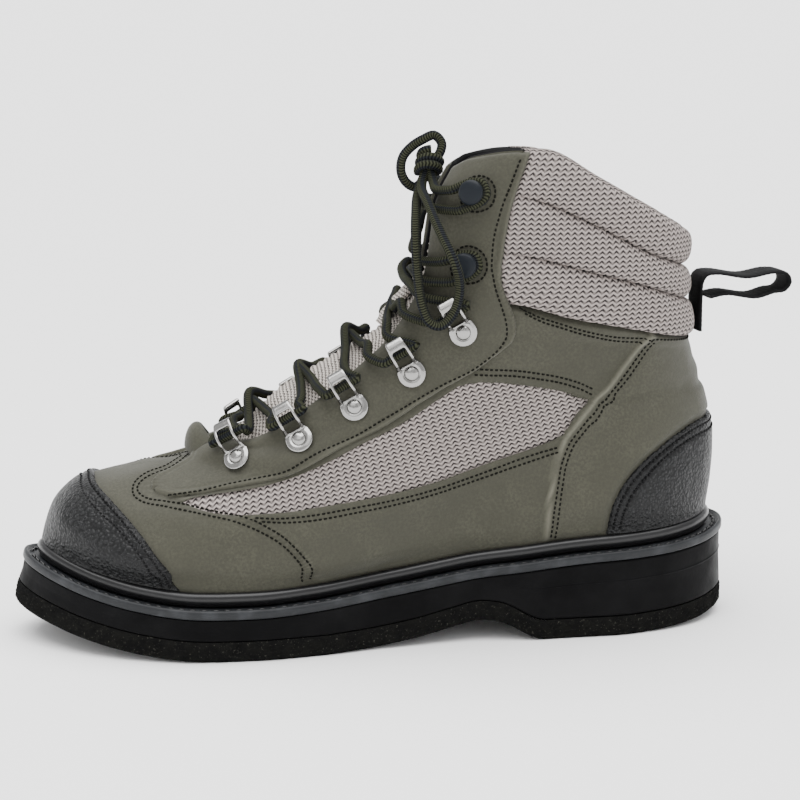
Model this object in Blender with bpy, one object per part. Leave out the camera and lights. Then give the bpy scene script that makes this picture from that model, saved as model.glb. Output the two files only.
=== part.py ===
"""Left wading boot with a felt sole, built as separate solids.

Every form is worked out in shoe coordinates: forward from the heel's back,
outward to the boot's left side, up from the floor. place() turns these into the
world: toe towards -X, the boot's outer side towards -Y, up along +Z.
"""

import bmesh
import bpy
import numpy as np
from mathutils import Matrix

# Sole, metres
SOLE_LENGTH = 0.309
BALL_WIDTH = 0.108
HEEL_WIDTH = 0.086
FELT_THICKNESS = 0.0085
HEEL_STACK = 0.037
BALL_STACK = 0.0217
TOE_SPRING = 0.015
TOE_LEAN = 0.005
HEEL_LIFT = 0.0045
ARCH_RISE = 0.009

# Welt: a band, a stitched channel and a bead around the upper
WELT_THICKNESS = 0.004
WELT_PROUD = 0.001
CHANNEL_WIDTH = 0.0055
CHANNEL_DEPTH = 0.0008
BEAD_WIDTH = 0.0035
BEAD_HEIGHT = 0.006
WELT_LEDGE = 0.004

# Upper
UPPER_HEIGHT = 0.168
COLLAR_WIDTH = 0.084
WALL = 0.0022
CUFF_SEAT = 0.005
CUFF_BULGE = 0.0045
CUFF_ROUND = 0.0012
ROLL_SEAM = 0.0006
CUFF_REACH = 0.645
SHAFT_TWIST = 0.14
SHAFT_LEAN = 0.05
INSOLE_THICKNESS = 0.004
OVERLAY = 0.0014
CAP_OVERLAY = 0.0017
GAP = 0.0003

# Tongue
TONGUE_THICKNESS = 0.0042
TONGUE_UNDERLAP = 0.075
TONGUE_CLEARANCE = 0.002
TONGUE_TUCK = 0.001

# Hardware
RING_PLATE_WIDTH = 0.0105
RING_PLATE_LENGTH = 0.0145
RING_PLATE_THICKNESS = 0.0009
RING_OPENING = 0.0060
RING_RISE = 0.0068
RIVET_RADIUS = 0.0029
RIVET_HEIGHT = 0.0014
HOOK_BASE_RADIUS = 0.0058
HOOK_BASE_THICKNESS = 0.0014
HOOK_STEM_RADIUS = 0.0022
HOOK_HEIGHT = 0.0084
HOOK_HEAD_RADIUS = 0.0052

# Lace and pull loop
LACE_RADIUS = 0.002
LACE_PITCH = 0.007
CORD_PITCH = 0.0055
KNOT_RADII = (0.004, 0.004, 0.0055)
LOOP_REACH = 0.028
LOOP_ROOT = 0.0129
LOOP_WIDTH = 0.018
LOOP_THICKNESS = 0.0016

# Outline of the sole, shares of its length and of its width where it lies
OUTLINE = (
    # forward, lateral, medial
    (0.000, 0.000, 0.000),
    (0.020, 0.225, 0.225),
    (0.060, 0.372, 0.366),
    (0.120, 0.471, 0.451),
    (0.200, 0.525, 0.480),
    (0.300, 0.510, 0.420),
    (0.400, 0.443, 0.366),
    (0.500, 0.445, 0.365),
    (0.600, 0.486, 0.413),
    (0.680, 0.513, 0.462),
    (0.760, 0.502, 0.481),
    (0.840, 0.434, 0.447),
    (0.910, 0.322, 0.365),
    (0.955, 0.205, 0.281),
    (0.985, 0.092, 0.183),
    (1.000, -0.055, 0.055),
)

# Under the waist the sole rises in a ramp and drops at the heel's breast
ARCH = (
    # forward, share of the arch's rise
    (0.290, 0.00),
    (0.300, 0.08),
    (0.350, 0.90),
    (0.375, 1.00),
    (0.420, 0.72),
    (0.470, 0.36),
    (0.530, 0.10),
    (0.590, 0.00),
)

# Rises are read at these shares of the way from a level's back to its front
RISE_STATIONS = (0.0, 0.18, 0.42, 0.65, 0.82, 0.94, 1.0)

# Half-widths are read at these shares of a half-turn from back to front
WIDTH_STATIONS = (0.12, 0.28, 0.45, 0.60, 0.72, 0.84, 0.93, 1.0)

# Levels of the upper from the bead to the collar's rim. Back and front are shares
# of the sole's length, rises are shares of the upper's height above the welt, and
# half-widths are shares of the foot's width or, by the last column, the collar's.
LEVELS = (
    # name, back, front, rises, half-widths, share of the foot's curve, collar share
    ("side", 0.024, 0.937, (0.115, 0.108, 0.089, 0.092, 0.093, 0.117, 0.145),
     (0.227, 0.419, 0.334, 0.412, 0.426, 0.310, 0.176, 0.000), 0.95, 0.00),
    ("toe_top", 0.021, 0.902, (0.186, 0.185, 0.163, 0.161, 0.164, 0.198, 0.221),
     (0.221, 0.395, 0.339, 0.407, 0.412, 0.287, 0.162, 0.000), 0.90, 0.00),
    ("cap_lip", 0.021, 0.872, (0.233, 0.238, 0.225, 0.222, 0.217, 0.236, 0.252),
     (0.215, 0.378, 0.339, 0.394, 0.384, 0.255, 0.144, 0.000), 0.85, 0.00),
    ("vamp", 0.026, 0.810, (0.294, 0.303, 0.290, 0.284, 0.265, 0.277, 0.290),
     (0.204, 0.362, 0.352, 0.388, 0.359, 0.230, 0.129, 0.000), 0.80, 0.15),
    ("tongue_base", 0.033, 0.760, (0.343, 0.351, 0.339, 0.330, 0.300, 0.308, 0.318),
     (0.199, 0.351, 0.360, 0.392, 0.357, 0.223, 0.124, 0.000), 0.75, 0.30),
    ("throat", 0.039, 0.737, (0.367, 0.377, 0.367, 0.360, 0.333, 0.337, 0.348),
     (0.200, 0.346, 0.366, 0.401, 0.371, 0.239, 0.132, 0.000), 0.70, 0.40),
    ("eyestay_1", 0.041, 0.671, (0.398, 0.410, 0.404, 0.397, 0.371, 0.368, 0.370),
     (0.200, 0.347, 0.370, 0.406, 0.385, 0.316, 0.274, 0.237), 0.60, 0.55),
    ("eyestay_2", 0.048, 0.601, (0.435, 0.451, 0.456, 0.458, 0.440, 0.433, 0.436),
     (0.201, 0.355, 0.384, 0.417, 0.400, 0.362, 0.334, 0.312), 0.50, 0.70),
    ("eyestay_3", 0.053, 0.530, (0.466, 0.495, 0.520, 0.545, 0.539, 0.524, 0.519),
     (0.214, 0.368, 0.412, 0.434, 0.417, 0.382, 0.354, 0.331), 0.40, 0.85),
    ("cuff_foot", 0.057, 0.473, (0.496, 0.536, 0.582, 0.641, 0.653, 0.630, 0.601),
     (0.238, 0.411, 0.470, 0.476, 0.440, 0.393, 0.357, 0.333), 0.30, 1.00),
    ("roll_low", 0.062, 0.431, (0.592, 0.646, 0.697, 0.750, 0.776, 0.758, 0.734),
     (0.250, 0.429, 0.488, 0.488, 0.446, 0.381, 0.333, 0.304), 0.20, 1.00),
    ("roll_high", 0.067, 0.415, (0.680, 0.730, 0.813, 0.885, 0.916, 0.915, 0.896),
     (0.256, 0.440, 0.500, 0.488, 0.435, 0.357, 0.298, 0.262), 0.15, 1.00),
    ("rim", 0.064, 0.389, (0.769, 0.831, 0.913, 0.994, 1.007, 1.002, 0.988),
     (0.256, 0.440, 0.500, 0.476, 0.411, 0.321, 0.268, 0.232), 0.10, 1.00),
)
LEVEL_NAMES = ["feather", "bead"] + [row[0] for row in LEVELS]


def level(name):
    """Number of a named level of the upper."""
    return float(LEVEL_NAMES.index(name))


THROAT = level("throat")
CUFF_FOOT = level("cuff_foot")
RIM = level("rim")


def ease(share):
    """Smooth step from 0 to 1."""
    share = np.clip(share, 0.0, 1.0)
    return share * share * (3.0 - 2.0 * share)


def flow(rows, values, at):
    """Smooth curve through a table: cubics whose slopes never overshoot a row."""
    rows = np.asarray(rows, float)
    values = np.asarray(values, float)
    at = np.asarray(at, float)
    shape = (-1,) + (1,) * (values.ndim - 1)
    step = np.diff(rows).reshape(shape)
    rise = np.diff(values, axis=0) / step
    product = rise[:-1] * rise[1:]
    total = rise[:-1] + rise[1:]
    slope = np.concatenate([rise[:1], rise[:1] * 0.0 + np.zeros_like(rise[1:]), rise[-1:]])
    slope[1:-1] = np.where(product > 0.0, 2.0 * product / np.where(product > 0.0, total, 1.0), 0.0)
    index = np.clip(np.searchsorted(rows, at, side="right") - 1, 0, len(rows) - 2)
    span = step[index].reshape((-1,) + (1,) * (values.ndim - 1))
    share = ((at - rows[index]).reshape(shape)) / span
    low, high = values[index], values[index + 1]
    start, end = slope[index] * span, slope[index + 1] * span
    return (low * (1 + 2 * share) * (1 - share) ** 2 + start * share * (1 - share) ** 2
            + high * share ** 2 * (3 - 2 * share) + end * share ** 2 * (share - 1))


def way(turn):
    """Share of the way forward after this share of a half-turn."""
    return (1.0 - np.cos(np.pi * np.asarray(turn, float))) / 2.0


def foot_width(share):
    """Width of the foot's part of the sole at this share of its length."""
    return HEEL_WIDTH + (BALL_WIDTH - HEEL_WIDTH) * ease((np.asarray(share) - 0.2) / 0.4)


def seat_height(forward):
    """Top of the welt above the floor."""
    share = np.asarray(forward) / SOLE_LENGTH
    stack = HEEL_STACK + (BALL_STACK - HEEL_STACK) * ease((share - 0.15) / 0.55)
    return stack + toe_rise(share) + heel_rise(share)


def toe_rise(share):
    """Lift of the sole over its toe."""
    return TOE_SPRING * np.clip((share - 0.72) / 0.28, 0.0, 1.0) ** 2


def heel_rise(share):
    """Lift of the sole's rounded back edge."""
    return HEEL_LIFT * np.clip(1.0 - share / 0.18, 0.0, 1.0) ** 2


def floor_height(forward):
    """Underside of the felt above the floor: heel, breast, ramp, forefoot, toe."""
    share = np.asarray(forward) / SOLE_LENGTH
    rows, rises = zip(*ARCH)
    arch = ARCH_RISE * flow(rows, rises, np.clip(share, rows[0], rows[-1]))
    return arch + toe_rise(share) + heel_rise(share)


def outline(turns, inset=0.0):
    """Lateral and medial sides of the sole's outline, moved in by an inset."""
    table = np.array(OUTLINE)
    stations = np.arccos(1.0 - 2.0 * table[:, 0]) / np.pi
    signed = np.concatenate([-stations[:0:-1], stations])
    widths = np.concatenate([-table[:0:-1, 2], table[:, 1]])
    signed = np.concatenate([signed, 2.0 + signed[1:4]])
    widths = np.concatenate([widths, widths[1:4]])

    def sides(at):
        at = np.where(at < -1.0, at + 2.0, at)
        forward = way(np.abs(np.where(at > 1.0, 2.0 - at, at)))
        outward = flow(signed, widths, at) * foot_width(forward)
        return np.stack([forward * SOLE_LENGTH, outward], axis=-1)

    pair = []
    for side in (1.0, -1.0):
        at = side * np.asarray(turns, float)
        point = sides(at)
        along = sides(at + 0.004) - sides(at - 0.004)
        along /= np.linalg.norm(along, axis=-1, keepdims=True)
        outside = np.stack([-along[:, 1], along[:, 0]], axis=-1)
        pair.append(point - outside * inset)
    return pair


TURNS = np.array([0.0, 0.035, 0.08, 0.13, 0.18, 0.24, 0.30, 0.37, 0.43, 0.49, 0.57, CUFF_REACH,
                  CUFF_REACH + 0.015, 0.72, 0.78, 0.83, 0.88, 0.92, 0.955, 0.98, 1.0])


def ring(inset, height, turns=TURNS):
    """Closed ring around the sole's outline: lateral side out, medial side back."""
    lateral, medial = outline(turns, inset)
    flat = np.concatenate([lateral, medial[-2:0:-1]])
    return np.column_stack([flat, height(flat[:, 0])])


WELT_INSET = CHANNEL_WIDTH + BEAD_WIDTH
FEATHER_INSET = WELT_INSET + GAP


def level_values(columns):
    """Forward, height and outward of every level at these signed turns."""
    turns = np.abs(columns)
    side = np.where(columns < 0.0, -1.0, 1.0)
    lateral, medial = outline(turns, FEATHER_INSET)
    own = np.where(side[:, None] > 0.0, lateral, medial)
    share = way(turns)
    middle = (lateral[:, 1] + medial[:, 1]) / 2.0
    rows = []
    for lift in (GAP, BEAD_HEIGHT + GAP):
        points = np.column_stack([own, seat_height(own[:, 0]) + lift])
        points = lean_back(points, floor_height(own[:, 0]))
        rows.append(points[:, (0, 2, 1)].T)
    for _, back, front, rises, halves, curve, collar in LEVELS:
        place_forward = (back + (front - back) * share) * SOLE_LENGTH
        rise = flow(RISE_STATIONS, rises, share) * UPPER_HEIGHT
        width = foot_width(share) * (1.0 - collar) + COLLAR_WIDTH * collar
        half = flow((0.0,) + WIDTH_STATIONS, (0.0,) + halves, turns) * width
        rows.append(np.stack([place_forward, seat_height(place_forward) + rise,
                              middle * curve + side * half]))
    return np.array(rows)


def surface(columns, heights):
    """Points of the upper's outer form, one row a level height, one column a turn.

    A column is a signed turn: 0 at the heel's back, +1 at the front on the lateral
    side, -1 at the front on the medial side.
    """
    columns = np.asarray(columns, float)
    heights = np.asarray(heights, float)
    values = flow(np.arange(len(LEVEL_NAMES)), level_values(columns), heights)
    forward, up, outward = (values[:, k] for k in range(3))
    turned = ease((heights - level("toe_top")) / (level("eyestay_1") - level("toe_top")))[:, None]
    tipped = ease((heights - THROAT) / (RIM - THROAT))[:, None]
    forward = forward + outward * SHAFT_TWIST * turned
    up = up + outward * SHAFT_LEAN * tipped
    return np.stack([forward, outward, up], axis=-1)


def normals(columns, heights):
    """Outward unit normals of the upper's outer form."""
    columns = np.asarray(columns, float)
    heights = np.asarray(heights, float)
    nudge = 0.004
    along = (surface(np.clip(columns + nudge, -0.9999, 0.9999), heights)
             - surface(np.clip(columns - nudge, -0.9999, 0.9999), heights))
    rise = (surface(np.clip(columns, -0.9999, 0.9999), np.clip(heights + 0.05, 0.0, RIM))
            - surface(np.clip(columns, -0.9999, 0.9999), np.clip(heights - 0.05, 0.0, RIM)))
    out = np.cross(rise, along)
    straight = (heights <= 1.0)[:, None, None]
    out = np.where(straight, out * np.array([1.0, 1.0, 0.0]), out)
    return out / np.linalg.norm(out, axis=-1, keepdims=True)


def offset(columns, heights, distance):
    """The outer form moved out along its normals by a distance for each point."""
    distance = np.broadcast_to(distance, (len(heights), len(columns)))
    return surface(columns, heights) + normals(columns, heights) * distance[..., None]


FLAP_SLANT = (SHAFT_TWIST, SHAFT_LEAN * 0.6)
ORIGIN_FORWARD = (SOLE_LENGTH - LOOP_REACH) / 2.0
SIDES = outline(np.linspace(0.0, 1.0, 201))
ORIGIN_OUTWARD = (SIDES[0][:, 1].max() + SIDES[1][:, 1].min()) / 2.0


def place(points):
    """Shoe coordinates to world coordinates."""
    points = np.asarray(points, float)
    return np.stack([ORIGIN_FORWARD - points[..., 0], ORIGIN_OUTWARD - points[..., 1],
                     points[..., 2]], axis=-1)


def material(name, color, roughness, metallic=0.0):
    """Plain Principled material."""
    made = bpy.data.materials.new(name)
    made.use_nodes = True
    shader = made.node_tree.nodes["Principled BSDF"]
    shader.inputs["Base Color"].default_value = (*color, 1.0)
    shader.inputs["Roughness"].default_value = roughness
    shader.inputs["Metallic"].default_value = metallic
    return made


def solid(name, points, faces, finish):
    """One object from shoe points and faces, all faces turned outward."""
    mesh = bpy.data.meshes.new(name)
    mesh.from_pydata(place(points).tolist(), [], [list(map(int, face)) for face in faces])
    form = bmesh.new()
    form.from_mesh(mesh)
    loose = [vertex for vertex in form.verts if not vertex.link_faces]
    bmesh.ops.delete(form, geom=loose, context="VERTS")
    bmesh.ops.recalc_face_normals(form, faces=form.faces)
    form.to_mesh(mesh)
    form.free()
    mesh.materials.append(finish)
    thing = bpy.data.objects.new(name, mesh)
    bpy.context.scene.collection.objects.link(thing)
    return thing


def cells(grid):
    """Triangles of a grid of point numbers, all cut along the same diagonal."""
    faces = []
    for lower, upper in zip(grid[:-1], grid[1:]):
        for j in range(len(lower) - 1):
            corners = (lower[j], lower[j + 1], upper[j + 1], upper[j])
            for face in ((corners[0], corners[1], corners[2]),
                         (corners[0], corners[2], corners[3])):
                if len(set(face)) == 3:
                    faces.append(face)
    return faces


def ladder(numbers):
    """Faces across a closed ring, from its lateral side to its medial side."""
    half = len(numbers) // 2
    lateral = numbers[:half + 1]
    medial = [numbers[0]] + list(numbers[:half - 1:-1])
    return cells([lateral, medial])


def stack(name, rings, finish):
    """Solid from rings laid over one another, closed at the bottom and the top."""
    count = len(rings[0])
    points = np.concatenate(rings)
    numbers = np.arange(len(points)).reshape(len(rings), count)
    closed = np.column_stack([numbers, numbers[:, :1]])
    faces = cells(closed) + ladder(list(numbers[0])) + ladder(list(numbers[-1]))
    return solid(name, points, faces, finish)


def hoop(name, rings, finish):
    """Ring-shaped solid from a closed profile of rings."""
    count = len(rings[0])
    points = np.concatenate(rings)
    numbers = np.arange(len(points)).reshape(len(rings), count)
    closed = np.column_stack([numbers, numbers[:, :1]])
    closed = np.vstack([closed, closed[:1]])
    return solid(name, points, cells(closed), finish)


def lean_back(points, base):
    """Tilt the sole's wall back over the toe by its height above the felt."""
    share = np.clip((points[:, 0] / SOLE_LENGTH - 0.72) / 0.28, 0.0, 1.0) ** 2
    points = points.copy()
    points[:, 0] -= TOE_LEAN * share * (points[:, 2] - base) / BALL_STACK
    return points


def wall_ring(inset, height):
    """Ring of the sole's outer wall at a height function."""
    points = ring(inset, height)
    return lean_back(points, floor_height(points[:, 0]))


def make_sole(felt, rubber, edge):
    """Felt outsole, rubber midsole with a raised middle, and the welt."""
    felt_top = lambda f: floor_height(f) + FELT_THICKNESS
    rest = lambda f: seat_height(f) - WELT_THICKNESS
    shelf = lambda f: seat_height(f) - CHANNEL_DEPTH
    stack("felt_outsole", [wall_ring(0.0015, floor_height),
                           wall_ring(0.0, lambda f: floor_height(f) + 0.0015),
                           wall_ring(0.0, felt_top)], felt)
    inner = WELT_INSET + WELT_LEDGE
    stack("midsole", [
        wall_ring(0.0004, lambda f: felt_top(f) + GAP),
        wall_ring(WELT_PROUD, lambda f: (felt_top(f) + rest(f)) / 2.0),
        wall_ring(WELT_PROUD, lambda f: rest(f) - GAP),
        wall_ring(inner + GAP, lambda f: rest(f) - GAP),
        wall_ring(inner + GAP, seat_height)], rubber)
    bead_out = CHANNEL_WIDTH
    hoop("welt", [
        wall_ring(0.0006, rest),
        wall_ring(0.0, lambda f: rest(f) + 0.0008),
        wall_ring(0.0, lambda f: seat_height(f) - 0.0008),
        wall_ring(0.0008, seat_height),
        wall_ring(0.0018, shelf),
        wall_ring(bead_out - 0.0004, shelf),
        wall_ring(bead_out, lambda f: seat_height(f) + BEAD_HEIGHT * 0.55),
        wall_ring(bead_out + BEAD_WIDTH * 0.35, lambda f: seat_height(f) + BEAD_HEIGHT * 0.95),
        wall_ring(WELT_INSET, lambda f: seat_height(f) + BEAD_HEIGHT * 0.9),
        wall_ring(WELT_INSET, seat_height),
        wall_ring(inner, seat_height),
        wall_ring(inner, rest)], edge)


def make_insole(finish):
    """Footbed inside the upper, on the midsole's raised middle."""
    inset = FEATHER_INSET + WALL + 2 * GAP
    stack("insole", [wall_ring(inset, lambda f: seat_height(f) + GAP),
                     wall_ring(inset, lambda f: seat_height(f) + INSOLE_THICKNESS - 0.001),
                     wall_ring(inset + 0.001, lambda f: seat_height(f) + INSOLE_THICKNESS)],
          finish)


UPPER_COLUMNS = np.concatenate([TURNS[::-1], -TURNS[1:]])
SEAT_STEP = 0.08
CAP_FOOT = 1.15
UPPER_ROWS = np.array([0.0, 1.0, CAP_FOOT, 1.5, 2.0, 2.5, 3.0, 4.0, 5.0, 6.0, 7.0, 7.3, 7.6, 8.0, 9.0, 10.0,
                       CUFF_FOOT - SEAT_STEP, CUFF_FOOT, 11.5, 12.0, 12.5, 13.0, 13.5, RIM])


def cuff_seat(columns, heights):
    """Depth of the recess that the cuff is seated in."""
    across = np.abs(columns)[None, :] <= CUFF_REACH + 1e-6
    above = np.asarray(heights)[:, None] >= CUFF_FOOT - 1e-6
    return np.where(across & above, CUFF_SEAT, 0.0)


def lining_depth(columns, heights):
    """Depth of the inner wall: it clears the recess with soft slopes."""
    across = 1.0 - ease((np.abs(columns)[None, :] - CUFF_REACH) / 0.2)
    above = ease((np.asarray(heights)[:, None] - CUFF_FOOT + 1.5) / 1.5)
    return WALL + CUFF_SEAT * across * above


def make_upper(finish):
    """Hollow upper: outer form, lining, and the strips along its open edges."""
    rows, columns = UPPER_ROWS, UPPER_COLUMNS
    outer = offset(columns, rows, -cuff_seat(columns, rows))
    inner = offset(columns, rows, -lining_depth(columns, rows))
    inner[:2, :, 2] = outer[:2, :, 2]
    size = len(rows) * len(columns)
    out = np.arange(size).reshape(len(rows), len(columns))
    inside = out + size
    closed = rows <= THROAT + 1e-6
    for numbers in (out, inside):
        numbers[closed, -1] = numbers[closed, 0]
    first = int(closed.sum()) - 1
    faces = cells(out) + cells(inside)
    faces += cells([out[0], inside[0]]) + cells([out[-1], inside[-1]])
    faces += cells([out[first:, 0], inside[first:, 0]])
    faces += cells([out[first:, -1], inside[first:, -1]])
    points = np.concatenate([outer.reshape(-1, 3), inner.reshape(-1, 3)])
    return solid("upper", points, faces, finish)


def shell(name, columns, heights, low, high, finish):
    """Plate between two offsets of the upper's form, on the upper's own grid."""
    return plate(name, offset(columns, heights, low), offset(columns, heights, high), finish)


def side_prism(name, corners, slant, finish):
    """Cutter: an outline drawn on the boot's outer side, carried across the boot."""
    count = len(corners)
    flat = np.array(corners) * (SOLE_LENGTH, HEEL_STACK + UPPER_HEIGHT)
    drawn_at = COLLAR_WIDTH * 0.45
    ends = []
    for outward in (-BALL_WIDTH, BALL_WIDTH):
        moved = (outward - drawn_at) * np.array(slant)
        ends.append(np.column_stack([flat[:, 0] + moved[0], np.full(count, outward),
                                     flat[:, 1] + moved[1]]))
    near, far = ends
    faces = [list(range(count)), list(range(count, 2 * count))]
    for i in range(count):
        j = (i + 1) % count
        faces.append([i, j, count + j, count + i])
    cutter = solid(name, np.concatenate([near, far]), faces, finish)
    cutter.hide_render = True
    cutter.display_type = "WIRE"
    return cutter


def keep_inside(thing, cutter):
    """Cut a plate down to what lies inside a cutter."""
    cut = thing.modifiers.new("outline", "BOOLEAN")
    cut.operation = "INTERSECT"
    cut.solver = "EXACT"
    cut.object = cutter


TONGUE_ROWS = UPPER_ROWS[(UPPER_ROWS >= 5.0) & (UPPER_ROWS <= 13.5)]
ARCH_POWER = 1.5
TONGUE_ARCH = (
    # level height, ridge of the tongue above the line between the throat's edges
    (0.0, 0.0000),
    (7.0, 0.0000),
    (7.3, 0.0010),
    (8.0, 0.0110),
    (9.0, 0.0150),
    (10.0, 0.0120),
    (11.0, 0.0080),
    (12.0, 0.0040),
    (14.0, 0.0030),
)


def spread(line, count):
    """Points evenly spaced along a line of points."""
    steps = np.linalg.norm(np.diff(line, axis=0), axis=1)
    run = np.concatenate([[0.0], np.cumsum(steps)])
    at = np.linspace(0.0, run[-1], count)
    return np.stack([np.interp(at, run, line[:, k]) for k in range(3)], axis=1)


def throat_frame(rows):
    """Middle of the throat at these level heights, and the way out of it."""
    edges = offset(np.array([1.0, -1.0]), rows, 0.0)
    middle = edges.mean(axis=1)
    climb = np.gradient(middle, axis=0)
    out = np.stack([climb[:, 2], np.zeros(len(rows)), -climb[:, 0]], axis=1)
    return middle, out / np.linalg.norm(out, axis=1, keepdims=True)


def tongue_surface(rows):
    """Outer face of the tongue: tucked under the edges, arched between them."""
    under = np.array([1.0 - TONGUE_UNDERLAP, 1.0])
    depth = -lining_depth(under, rows) - TONGUE_CLEARANCE
    depth = depth - np.where(rows <= THROAT, TONGUE_TUCK, 0.0)[:, None]
    lateral = offset(under, rows, depth)
    medial = offset(-under[::-1], rows, depth)
    middle = (lateral[:, -1] + medial[:, 0]) / 2.0
    out = throat_frame(rows)[1]
    arch = flow(*zip(*TONGUE_ARCH), rows)
    share = np.linspace(1.0, -1.0, 7)[1:-1]
    face = []
    for k, row in enumerate(rows):
        half = (lateral[k, -1] - medial[k, 0]) / 2.0
        span = (middle[k] + share[:, None] * half
                + out[k] * arch[k] * (1.0 - share[:, None] ** 2) ** ARCH_POWER)
        line = np.concatenate([lateral[k], span, medial[k]])
        face.append(line if row > THROAT else spread(line, len(line)))
    return np.array(face), out


def make_tongue(finish):
    """Padded tongue under the vamp and the eyestays, arched across the throat."""
    top, out = tongue_surface(TONGUE_ROWS)
    normal = np.cross(np.gradient(top, axis=1), np.gradient(top, axis=0))
    normal /= np.linalg.norm(normal, axis=-1, keepdims=True)
    normal *= np.sign((normal * out[:, None]).sum(axis=-1, keepdims=True))
    bottom = top - normal * TONGUE_THICKNESS
    plate("tongue", bottom[:, ::-1], top[:, ::-1], finish)


def plate(name, under, over, finish):
    """Solid between two grids of points, closed around its four edges."""
    rows, columns = over.shape[:2]
    bottom = np.arange(rows * columns).reshape(rows, columns)
    top = bottom + rows * columns
    faces = cells(bottom) + cells(top)
    for edge in (np.s_[0, :], np.s_[-1, :], np.s_[:, 0], np.s_[:, -1]):
        faces += cells([bottom[edge], top[edge]])
    return solid(name, np.concatenate([under.reshape(-1, 3), over.reshape(-1, 3)]), faces, finish)


# Outlines of the overlays seen from the side: shares of the sole's length and of
# the boot's height at the flap
CAP_OUTLINE = (
    # forward, up
    (0.905, 0.450),
    (0.893, 0.345),
    (0.852, 0.288),
    (0.826, 0.249),
    (0.803, 0.215),
    (0.783, 0.170),
    (0.765, 0.110),
    (0.765, 0.050),
    (1.060, 0.050),
    (1.060, 0.450),
)
COUNTER_OUTLINE = (
    (-0.060, 0.425),
    (0.018, 0.418),
    (0.055, 0.405),
    (0.088, 0.382),
    (0.112, 0.360),
    (0.136, 0.330),
    (0.165, 0.285),
    (0.185, 0.245),
    (0.203, 0.200),
    (0.213, 0.100),
    (-0.060, 0.100),
)
# Front edge of the cuff and rear edge of the flaps
FLAP_REAR = (
    (0.298, 1.100),
    (0.300, 0.975),
    (0.321, 0.918),
    (0.335, 0.834),
    (0.342, 0.788),
    (0.342, 0.737),
    (0.333, 0.693),
    (0.331, 0.600),
)
FLAP_GAP = 0.002
EYESTAY_OUTLINE = tuple((forward + FLAP_GAP, up) for forward, up in FLAP_REAR) + (
    (0.345, 0.585),
    (0.379, 0.560),
    (0.434, 0.520),
    (0.482, 0.481),
    (0.528, 0.447),
    (0.579, 0.408),
    (0.647, 0.361),
    (0.700, 0.338),
    (0.777, 0.318),
    (0.806, 0.328),
    (0.814, 0.350),
    (0.808, 0.440),
    (0.600, 0.800),
    (0.480, 1.100),
)
CUFF_OUTLINE = ((-0.060, 0.600), (-0.060, 1.100)) + FLAP_REAR


def overlay(name, columns, heights, thickness, corners, slant, finish):
    """Plate on the upper's form, cut to an outline drawn from the side."""
    thing = shell(name, columns, heights, GAP, GAP + thickness, finish)
    keep_inside(thing, side_prism(name + "_outline", corners, slant, finish))


def make_overlays(toe, leather):
    """Toe cap, heel counter and the eyestay with its flaps."""
    front = TURNS[TURNS >= 0.60]
    rows = UPPER_ROWS[(UPPER_ROWS >= CAP_FOOT) & (UPPER_ROWS <= 6.0)]
    overlay("toe_cap", np.concatenate([-front, front[-2::-1]]), rows, CAP_OVERLAY,
            CAP_OUTLINE, (0.0, 0.0), toe)
    back = TURNS[TURNS <= 0.37]
    overlay("heel_counter", np.concatenate([back[::-1], -back[1:]]), rows, CAP_OVERLAY,
            COUNTER_OUTLINE, (0.0, 0.0), toe)
    make_eyestay(leather)


def make_eyestay(finish):
    """Overlay around the throat, one piece over the vamp, with a flap on each side."""
    turns = TURNS[TURNS >= 0.49]
    rows = UPPER_ROWS[UPPER_ROWS >= 5.0]
    welded = rows <= THROAT
    first = int(welded.sum()) - 1
    points, faces, sheets = [], [], []
    for columns in (turns[::-1], -turns):
        pair = []
        for distance in (GAP, GAP + OVERLAY):
            points.append(offset(columns, rows, distance).reshape(-1, 3))
            size = len(rows) * len(turns)
            pair.append(np.arange(size).reshape(len(rows), -1) + size * (len(points) - 1))
        sheets.append(pair)
    for k in (0, 1):
        sheets[1][k][welded, -1] = sheets[0][k][welded, 0]
    for (under, over), front in zip(sheets, (0, -1)):
        faces += cells(under) + cells(over)
        for edge in (np.s_[0, :], np.s_[-1, :], np.s_[:, -1 - front], np.s_[first:, front]):
            faces += cells([under[edge], over[edge]])
    thing = solid("eyestay", np.concatenate(points), faces, finish)
    keep_inside(thing, side_prism("eyestay_outline", EYESTAY_OUTLINE, FLAP_SLANT, finish))


def make_cuff(finish):
    """Padded collar of three rolls, seated in the upper's recess."""
    turns = TURNS[TURNS < CUFF_REACH - 0.01]
    turns = np.concatenate([turns, [CUFF_REACH - 0.008]])
    columns = np.concatenate([turns[::-1], -turns[1:]])
    starts = np.arange(CUFF_FOOT, RIM)
    rows = np.concatenate([start + np.array([0.0, 0.15, 0.5, 0.85]) for start in starts])
    rows = np.append(rows, RIM)
    rows[0] += 0.03
    share = np.where(rows >= RIM, 1.0, rows - np.floor(rows))
    puff = np.sqrt(np.clip(1.0 - (2.0 * share - 1.0) ** 2, 0.0, 1.0))
    fade = ease((CUFF_REACH - np.abs(columns)) / 0.12)
    out = CUFF_BULGE * puff[:, None] * (0.30 + 0.70 * fade[None, :]) - ROLL_SEAM
    out[-1] -= CUFF_ROUND
    cuff = plate("collar_cuff", offset(columns, rows, GAP - CUFF_SEAT),
                 offset(columns, rows, out), finish)
    keep_inside(cuff, side_prism("cuff_outline", CUFF_OUTLINE, FLAP_SLANT, finish))


# Where the rings and hooks are riveted: shares of the sole's length and of the
# boot's height at the flap, seen from the side
RINGS = (
    # forward, up
    (0.696, 0.380),
    (0.615, 0.420),
    (0.544, 0.488),
    (0.469, 0.556),
    (0.401, 0.639),
)
HOOKS = (
    (0.392, 0.771),
    (0.379, 0.912),
)
# Way to the throat's edge from a rivet, seen from the side
RING_LIE = (0.50, 0.87)
HOOK_LIE = (0.96, -0.28)
SEAT_GAP = 0.0004
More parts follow.
